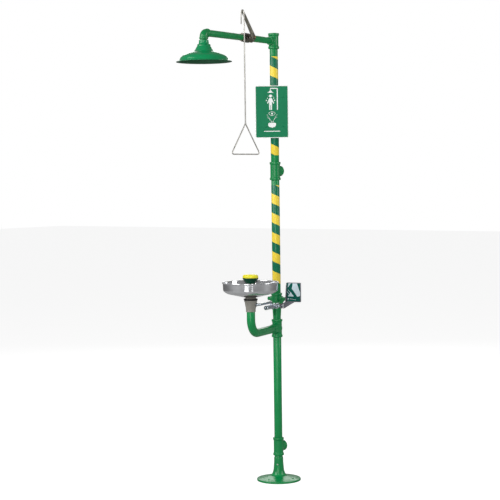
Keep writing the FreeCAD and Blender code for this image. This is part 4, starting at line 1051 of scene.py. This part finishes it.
class EYEWASH_OT_pull_rod(Operator):
    """Pull rod: hook, long rod and triangular handle bent from one bar"""

    bl_idname = "eyewash.pull_rod"
    bl_label = "Pull rod"

    def execute(self, context):
        sizes, _, _ = settings()
        radius = sizes.rod_radius / MM
        tip_y = VALVE_Y - LEVER * math.cos(LEVER_RISE)
        tip_z = TOP + LEVER * math.sin(LEVER_RISE) - 9
        place = at(LEVER_X + 2, tip_y, tip_z)
        hook = bent_bar([(-9, 0, -55), (-9, 0, 9), (9, 0, 9), (9, 0, -548)], [8.999, 8.999], radius, 24, 14)
        turn = at(9, 0, -548) @ about_pole(-8)
        half, drop = 102.5, 152
        handle = bent_bar(
            [(0, 0, 0), (0, -half, -drop), (0, half, -drop), (0, 0, 0)], [9, 9], radius, 24, 10, tip=0
        )
        weld = ball(radius * 1.5)
        bar = together([hook, place_shape(together([handle, weld]), turn)])
        piece("pull_rod_bar", place_shape(bar, place), finish("rod_steel"), ROD, ["pull_rod"])
        return {"FINISHED"}


class EYEWASH_OT_shower_head(Operator):
    """Bell, hub and deflector of the shower head"""

    bl_idname = "eyewash.shower_head"
    bl_label = "Shower head"

    def execute(self, context):
        place = at(0, -589, 2146)
        green = finish("head_green")
        bell = [
            (136, 0, 0.8), (136, 2, 0.8), (124, 4.4, 2), (119.6, 9.5, 3), (117, 18, 6), (111, 28, 9), (84, 41, 8),
            (58, 48.5, 10), (43.5, 58, 8), (38.8, 66, 3), (37, 71, 1.5), (33.6, 74, 1.5), (32.5, 81, 1.2),
            (28.6, 81, 0.6), (35, 60, 2), (54, 45, 5), (82, 37.8, 8), (108, 25.4, 8), (117, 8.6, 3), (122, 2, 2),
        ]
        shell = lathe(bell, place, 144)
        # Faces that look down take a darker copy of the green: painted shade where less light falls.
        for face in shape_faces_below(shell):
            face.material_index = 1
        piece("shower_bell_shell", shell, green, STATION, ["shower_bell"], 40, finish("head_green_painted_shade"))
        hub = [
            (9, 69), (28.4, 69), (28.4, 81), (32.5, 81), (32.5, 84.5, 1), (26, 86.5, 1), (24.6, 92, 1.4),
            (23.8, 98, 1), (23.8, 105, 1.2), (16.8, 105, 0.3), (16.8, 94), (9, 94),
        ]
        piece("shower_hub", lathe(hub, place, 96), green, STATION, ["head_hub"])
        dish = [
            (0, 16), (38, 16, 3), (46, 22, 0.8), (44, 24, 0.8), (37, 19, 2), (8, 21, 3), (6, 69), (0, 69)
        ]
        arms = [block(28, 4, 5, place @ about_pole(120 * k) @ at(14.2, 0, 64)) for k in range(3)]
        spider = together([lathe(dish, place, 96), *arms])
        piece("shower_spider", spider, green, STATION, ["head_deflector"])
        return {"FINISHED"}


# ---------------------------------------------------------------- bowl, drain and spray head


class EYEWASH_OT_bowl(Operator):
    """Spun steel bowl with its rolled rim"""

    bl_idname = "eyewash.bowl"
    bl_label = "Bowl"

    def execute(self, context):
        sizes, colours, _ = settings()
        radius = sizes.bowl_radius / MM
        rim = RIM_Z
        middle = BOWL_AXIS.translation
        steel = spun_steel("bowl_steel", colours.bowl_steel, middle, 0.09)
        depth = 76
        outline = [
            (23, 0), (37, 0, 5), (radius - 14, 20, 14), (radius - 1.5, 34, 10), (radius, depth - 6.6, 2),
            (radius + 3.4, depth - 5.4, 1.2), (radius + 4.7, depth - 2.8, 1.8), (radius + 3.2, depth - 0.2, 1.6),
            (radius + 0.4, depth, 1), (radius - 1.6, depth - 2.2, 1.6), (radius - 3, 34, 10),
            (radius - 15, 21.5, 14), (37, 1.5, 5), (23, 1.5),
        ]
        bowl = lathe(outline, BOWL_AXIS @ at(0, 0, rim - depth), 160, 0.3)
        piece("bowl_spinning", bowl, steel, STATION, ["bowl"], 40)
        keep_node("drain_strainer", steel)
        return {"FINISHED"}


class EYEWASH_OT_drain(Operator):
    """Gasket, locknut, drain cone and the bent drain pipe"""

    bl_idname = "eyewash.drain"
    bl_label = "Drain"

    def execute(self, context):
        ring = lathe([(22, 0), (32, 0, 1), (35.5, 3, 1), (35.5, 8, 0.8), (22, 8)], BOWL_AXIS @ at(0, 0, RIM_Z - 92.5), 96)
        piece("bowl_rubber_ring", ring, finish("gasket_black"), STATION, ["bowl_gasket"])
        lugs = [
            block(5, 3.4, 5.5, BOWL_AXIS @ about_pole(60 * k) @ at(27, 0, RIM_Z - 84.4), 0.6) for k in range(6)
        ]
        lock = lathe([(19.5, 0), (31, 0, 1), (26.5, 4.6, 1), (21.5, 8.4, 0.6), (19.5, 8.4)], BOWL_AXIS @ at(0, 0, RIM_Z - 84.5), 96)
        piece("bowl_ring_nut", together([lock, *lugs]), finish("drain_grey"), STATION, ["bowl_locknut"])
        place = BOWL_AXIS @ at(0, 0, CONE_Z)
        cone = [
            (0, 0), (23.6, 0, 1), (24.8, 14), (28, 34), (30.4, 48), (33.5, 54.5, 1), (33.5, 57.5, 0.6), (0, 57.5)
        ]
        boss = lathe([(0, 0), (10.8, 0), (10.8, 31, 0.8), (0, 31)], BOWL_AXIS @ at(0, 0, PORT_Z) @ facing(RIGHT_OF_WASH), 64)
        collar = lathe([(0, -0.0), (24.9, 0), (24.9, 4, 1), (23.2, 5, 0.4), (0, 5)], place)
        body = cast([lathe(cone, place, 96), boss, collar], 0.9, 4)
        well = lathe([(0, -1), (21.15, -1), (21.15, 12), (18, 14), (18, 40), (0, 40)], place, edge=0)
        mouth = lathe([(0, 44), (19.5, 44), (19.5, 60), (0, 60)], place, edge=0)
        body = carve(body, well, mouth)
        piece("drain_cone", body, finish("drain_grey"), STATION, ["drain_body"])
        route = [(0, 0, CONE_Z + 11.5), (0, 0, DRAIN), (0, 281, DRAIN)]
        bend = bent_bar(route, [75], 21.1, 72, 28, 0.3)
        piece("drain_bend", place_shape(bend, BOWL_AXIS), finish("pole_green"), STATION, ["drain_pipe"])
        return {"FINISHED"}


class EYEWASH_OT_spray_head(Operator):
    """Eyewash riser, spray head and its yellow dust cover"""

    bl_idname = "eyewash.spray_head"
    bl_label = "Spray head"

    def execute(self, context):
        wash = BOWL_AXIS @ at(0, 0, RIM_Z)
        riser = lathe(
            [(0, -127.5), (10.65, -127.5), (10.65, -17), (0, -17)], wash, 64, 0.3
        )
        collar = hex_nut(26, 7, wash @ at(0, 0, -32), 1)
        piece("spray_riser", together([riser, collar]), finish("line_chrome"), STATION, ["head_riser"])
        shell = oval_shell([
            (31, 31, -24), (31, 31, -14), (55.8, 43.5, 0), (70.5, 55, 9), (80.5, 62.6, 14.5), (82, 64, 16.5), (82, 64, 19)
        ], wash)
        deck_room = oval_shell([(66, 50, 11), (75, 57, 15), (75, 57, 21)], wash, edge=0)
        body = carve(shell, deck_room)
        piece("spray_head_shell", body, finish("wash_green"), STATION, ["head_body"])
        keep_node("nozzle_deck", finish("wash_green"))
        lid = oval_shell([
            (80, 62, 19.4), (82, 64, 21), (82, 64, 24), (80.5, 62.5, 29), (75.5, 57.5, 33.4), (66, 49, 36.4), (50, 36, 38)
        ], wash, edge=1.2)
        room = oval_shell([(75, 57, 18), (75, 57, 28), (60, 44, 33)], wash, edge=0)
        piece("dust_cover_cap", carve(lid, room), finish("cover_yellow"), COVER, ["dust_cover"])
        return {"FINISHED"}


# ---------------------------------------------------------------- eyewash supply and push flag

RIGHT_OF_WASH = WASH_SIDE.to_3x3() @ RIGHT
EYE_VALVE = WASH_SIDE @ at(LINE_X, -118, LINE_Z)


class EYEWASH_OT_supply_line(Operator):
    """Feed pipe, eyewash ball valve, strainer and the tube to the bowl"""

    bl_idname = "eyewash.supply_line"
    bl_label = "Eyewash supply line"

    def execute(self, context):
        chrome = finish("line_chrome")
        route = [(27.2, 0, FEED), (LINE_X, 0, FEED), (LINE_X, -24, FEED), (LINE_X, -75, LINE_Z), (LINE_X, -98, LINE_Z)]
        feed = bent_bar(route, [12, 22, 22], 10.65, 48, 10, 0.3)
        piece("feed_bend", place_shape(feed, WASH_SIDE), finish("pole_green"), STATION, ["feed_pipe"])

        wash_front = facing(FRONT)
        shapes = [
            lathe([(0, -15), (13, -15), (15.2, -9), (15.6, 0), (15.2, 9), (13, 15), (12, 30), (0, 30)], facing(BACK)),
            lathe([(0, 0), (11, 0), (9.6, 14), (8.4, 19), (0, 19)], facing(RIGHT), 48),
            hex_nut(28, 12, at(0, 19, 0) @ facing(BACK), 1),
        ]
        body = place_shape(cast(shapes, 0.7, 3), EYE_VALVE)
        piece("eye_valve_forging", body, chrome, STATION, ["eye_valve_body"])
        end = hex_nut(28, 15, EYE_VALVE @ at(0, -16, 0) @ wash_front, 1)
        piece("eye_valve_cap", end, chrome, STATION, ["eye_valve_end"])
        gland = hex_nut(17.2, 6, EYE_VALVE @ at(19, 0, 0) @ facing(RIGHT), 0.8)
        piece("eye_gland", gland, chrome, STATION, ["eye_packing_nut"])
        keep_node("eye_valve_ball", finish("ball_chrome"))
        keep_node("eye_valve_seats", finish("seat_white"))
        stem = lathe([(0, 11.5), (4, 11.5), (4, 38, 0.7), (0, 38)], EYE_VALVE @ facing(RIGHT), 40)
        piece("eye_stem", stem, finish("stem_brass"), FLAG, ["eye_valve_stem"])

        start = WASH_SIDE @ at(LINE_X, -153, LINE_Z)
        barrel = [
            (0, -15), (10.6, -15), (10.6, 0), (11.3, 10), (11.3, 26), (10.7, 28), (10.7, 72), (11.3, 73.5, 0.4), (11.3, 75), (0, 75)
        ]
        strainer = together([
            lathe(barrel, start @ wash_front, 64),
            hex_nut(28, 10, start @ wash_front, 1),
            ball(10.2, WASH_SIDE @ at(LINE_X, -172, LINE_Z + 3)),
        ])
        piece("strainer_barrel", strainer, chrome, STATION, ["strainer_body"])
        cap = lathe([(0, 75.2), (11.3, 75.2), (11.3, 88, 1.6), (9.8, 90, 0.4), (0, 90)], start @ wash_front, 64, 0.4)
        socket = hex_nut(11.5, 9, start @ at(0, -84, 0) @ wash_front, 0.1)
        groove = lathe([(10.6, 79), (12, 79), (12, 80.4), (10.6, 80.4)], start @ wash_front, 64, 0)
        cap = carve(cap, socket, groove)
        soften(cap, sharp_edges(cap, 60), 0.2, 2)
        piece("strainer_end_cap", cap, chrome, STATION, ["strainer_cap"])
        keep_node("strainer_screen", finish("screen_steel"))

        route = [
            (LINE_X, -172, LINE_Z + 2), (LINE_X, -172, PORT_Z), (LINE_X, -321, PORT_Z), (14.65, -321, PORT_Z)
        ]
        tube = bent_bar(route, [9.5, 10.5], 6.35, 40, 14, 0.3)
        piece("eye_tube", place_shape(tube, WASH_SIDE), chrome, STATION, ["supply_tube"])
        nut = hex_nut(17.7, 4.5, BOWL_AXIS @ at(31, 0, PORT_Z) @ facing(RIGHT), 0.6)
        piece("port_nut", nut, chrome, STATION, ["tube_nut"])
        return {"FINISHED"}


class EYEWASH_OT_push_flag(Operator):
    """Cast push flag with its printed label and nut"""

    bl_idname = "eyewash.push_flag"
    bl_label = "Push flag"

    def execute(self, context):
        left, bottom, width, height = 60, 22, 82, 100
        upright = Matrix.Rotation(math.radians(90), 4, "X")
        face = [(left, bottom), (left + width, bottom), (left + width, bottom + height), (left, bottom + height)]
        rib = [(0, bottom), (18, bottom), (5, bottom + 85), (0, bottom + 92)]
        web = [(26, -10), (47, -12), (left + 51, bottom + 3), (left, bottom + 3), (26, 8)]
        side = Matrix.Rotation(math.radians(-90), 4, "Z") @ Matrix.Rotation(math.radians(90), 4, "X")
        solids = [
            plate(face, 4, upright, 5, 0.8),
            plate(rib, 4, at(left + 2, 0, 0) @ side, 2, 0.6),
            plate(web, 4, upright, 1.5, 0.6),
            lathe([(0, 26), (12.5, 26, 1), (12.5, 35, 1), (0, 35)], facing(RIGHT), 64),
        ]
        body = cast(solids, 0.8, 3)
        room = lathe([(0, 35), (8.8, 35), (8.8, 44), (0, 44)], facing(RIGHT), 48, 0)
        body = place_shape(carve(body, room), EYE_VALVE)
        piece("push_flag_casting", body, finish("flag_cast"), FLAG, ["flag_lever"])

        front = EYE_VALVE @ at(left + width / 2, -2.05, bottom + height / 2) @ upright
        field = [(-37, -46), (37, -46), (37, 46), (-37, 46)]
        label = plate(field, 0.5, front @ at(0, 0, 0.25), 3, 0)
        piece("push_flag_label", label, finish("flag_print"), FLAG, ["flag_decal"])
        pale = [
            [(-4, 46), (20, 46), (37, -2), (37, -18), (21, -22), (-9, 20)],
            [(-31, -21), (2, -21), (-15, 1)],
            [(-27, 46), (-14, 46), (-31, 24)],
        ]
        marks = [plate(outline, 0.3, front @ at(0, 0, 0.45), 1.5, 0) for outline in pale]
        marks.append(place_shape(lathe([(0, 0), (4, 0), (4, 0.25), (0, 0.25)], steps=32, edge=0), front @ at(-29, -34, 0.4)))
        for x0, y0, x1, y1 in ((-20, -33, 14, -38), (-31, 14, -16, -2), (-36, 4, -20, -14)):
            long = math.hypot(x1 - x0, y1 - y0)
            turn = Matrix.Rotation(math.atan2(y1 - y0, x1 - x0), 4, "Z")
            marks.append(plate([(0, -1), (long, -1), (long, 1), (0, 1)], 0.3, front @ at(x0, y0, 0.45) @ turn, 0.9, 0))
        piece("push_flag_marks", together(marks), finish("flag_pale"), FLAG, [])
        nut = hex_nut(14.4, 4.8, EYE_VALVE @ at(35, 0, 0) @ facing(RIGHT), 0.7)
        piece("flag_lock_nut", nut, finish("line_chrome"), FLAG, ["flag_nut"])
        return {"FINISHED"}


# ---------------------------------------------------------------- stage


class EYEWASH_OT_stage(Operator):
    """Pale floor, soft lights and the camera"""

    bl_idname = "eyewash.stage"
    bl_label = "Stage"

    def card(self, name, width, height, place, colour, glow=0.0):
        shape = bmesh.new()
        bmesh.ops.create_grid(shape, x_segments=1, y_segments=1, size=0.5)
        bmesh.ops.scale(shape, vec=(width, height, 1), verts=shape.verts)
        place_shape(shape, place)
        mesh = bpy.data.meshes.new(name)
        shape.to_mesh(mesh)
        shape.free()
        made = bpy.data.objects.new(name, mesh)
        bpy.context.scene.collection.objects.link(made)
        paper = bpy.data.materials.new(name)
        paper.use_nodes = True
        shader = paper.node_tree.nodes["Principled BSDF"]
        shader.inputs["Base Color"].default_value = (*colour, 1)
        shader.inputs["Roughness"].default_value = 0.9
        shader.inputs["Specular IOR Level"].default_value = 0.1
        if glow:
            nodes, links = paper.node_tree.nodes, paper.node_tree.links
            seen = nodes.new("ShaderNodeMath")
            seen.operation = "MULTIPLY"
            seen.inputs[1].default_value = glow
            links.new(nodes.new("ShaderNodeLightPath").outputs["Is Camera Ray"], seen.inputs[0])
            links.new(seen.outputs[0], shader.inputs["Emission Strength"])
            shader.inputs["Emission Color"].default_value = (1, 1, 1, 1)
        mesh.materials.append(paper)
        return made

    def backdrop(self, scene, ambient):
        """White behind everything, and dimmer where it lights the object."""
        world = bpy.data.worlds.new("studio")
        world.use_nodes = True
        nodes, links = world.node_tree.nodes, world.node_tree.links
        sky = nodes["Background"]
        sky.inputs["Color"].default_value = (1, 1, 1, 1)
        path = nodes.new("ShaderNodeLightPath")
        level = nodes.new("ShaderNodeMapRange")
        level.inputs["To Min"].default_value = ambient
        level.inputs["To Max"].default_value = 1.0
        links.new(path.outputs["Is Camera Ray"], level.inputs["Value"])
        links.new(level.outputs[0], sky.inputs["Strength"])
        scene.world = world

    def lamp(self, name, where, aim, width, height, power, colour=(1, 1, 1)):
        light = bpy.data.lights.new(name, "AREA")
        light.shape = "RECTANGLE"
        light.size = width
        light.size_y = height
        light.energy = power
        light.color = colour
        made = bpy.data.objects.new(name, light)
        bpy.context.scene.collection.objects.link(made)
        made.location = where
        made.rotation_euler = (Vector(aim) - Vector(where)).to_track_quat("-Z", "Y").to_euler()
        made.visible_camera = False
        return made

    def execute(self, context):
        _, _, stage = settings()
        scene = context.scene
        turn = Matrix.Rotation(stage.azimuth, 4, "Z")
        right = turn.to_3x3() @ RIGHT
        toward = turn.to_3x3() @ FRONT
        where = toward * stage.distance - right * stage.aside + UP * stage.height
        aim = Matrix.Rotation(stage.azimuth, 4, "Z") @ Matrix.Rotation(math.pi / 2 - stage.pitch, 4, "X")
        aim = aim @ Matrix.Rotation(-stage.roll, 4, "Z")
        view = bpy.data.cameras.new("camera")
        view.lens = stage.lens
        view.sensor_width = 36
        view.clip_end = 100
        camera = bpy.data.objects.new("camera", view)
        scene.collection.objects.link(camera)
        camera.matrix_world = Matrix.Translation(where) @ aim
        scene.camera = camera

        self.card("floor", 60, 60, Matrix(), (0.5, 0.5, 0.5), 0.78)
        self.backdrop(scene, stage.ambient)

        def ring(degrees, far, height):
            return Matrix.Rotation(math.radians(degrees), 3, "Z") @ toward * far + UP * height

        self.lamp("strip_left", ring(-17, 4.5, 2.1), (0, 0, 2.1), 1.1, 4.1, 70)
        self.lamp("strip_right", ring(5, 4.5, 2.1), (0, 0, 2.1), 0.3, 4.1, 14)
        self.lamp("soft_left", ring(-62, 5, 3.4), (0, 0, 1.3), 3.0, 3.0, 150)
        self.lamp("soft_right", ring(70, 5.5, 3.0), (0, 0, 1.3), 2.0, 3.2, 90)
        self.lamp("soft_back", ring(180, 5, 3.2), (0, 0, 1.2), 3.0, 2.5, 60)
        shade_card = Matrix.Translation(ring(-4.5, 4.6, 2.1)) @ facing(-ring(-4.5, 1, 0))
        dark = self.card("dark_card", 0.45, 4.1, shade_card @ Matrix.Rotation(math.pi / 2, 4, "Z"), (0.02, 0.03, 0.03))
        dark.visible_camera = False
        scene.view_settings.view_transform = "Standard"
        scene.view_settings.look = "None"
        return {"FINISHED"}


class EYEWASH_PT_panel(Panel):
    """Buttons for each piece and the settings"""

    bl_idname = "EYEWASH_PT_panel"
    bl_label = "Eyewash station"
    bl_space_type = "VIEW_3D"
    bl_region_type = "UI"
    bl_category = "Eyewash"

    def draw(self, context):
        for operator in OPERATORS:
            self.layout.operator(operator.bl_idname)
        for settings_name in ("eyewash_sizes", "eyewash_finishes", "eyewash_stage"):
            group = getattr(context.scene, settings_name)
            for prop in group.__annotations__:
                self.layout.prop(group, prop)


OPERATORS = (
    EYEWASH_OT_flange,
    EYEWASH_OT_pole_pipes,
    EYEWASH_OT_tees,
    EYEWASH_OT_tapes,
    EYEWASH_OT_sign,
    EYEWASH_OT_arm,
    EYEWASH_OT_shower_valve,
    EYEWASH_OT_lever,
    EYEWASH_OT_pull_rod,
    EYEWASH_OT_shower_head,
    EYEWASH_OT_bowl,
    EYEWASH_OT_drain,
    EYEWASH_OT_spray_head,
    EYEWASH_OT_supply_line,
    EYEWASH_OT_push_flag,
    EYEWASH_OT_stage,
)
GROUPS = {
    "eyewash_sizes": EyewashSizes,
    "eyewash_finishes": EyewashFinishes,
    "eyewash_stage": EyewashStage,
}


def register():
    for made in (*GROUPS.values(), *OPERATORS, EYEWASH_PT_panel):
        bpy.utils.register_class(made)
    for name, group in GROUPS.items():
        setattr(bpy.types.Scene, name, PointerProperty(type=group))


def unregister():
    for name in GROUPS:
        delattr(bpy.types.Scene, name)
    for made in reversed((*GROUPS.values(), *OPERATORS, EYEWASH_PT_panel)):
        bpy.utils.unregister_class(made)


def main():
    register()
    for operator in OPERATORS:
        group, name = operator.bl_idname.split(".")
        getattr(getattr(bpy.ops, group), name)()


if __name__ == "__main__":
    main()
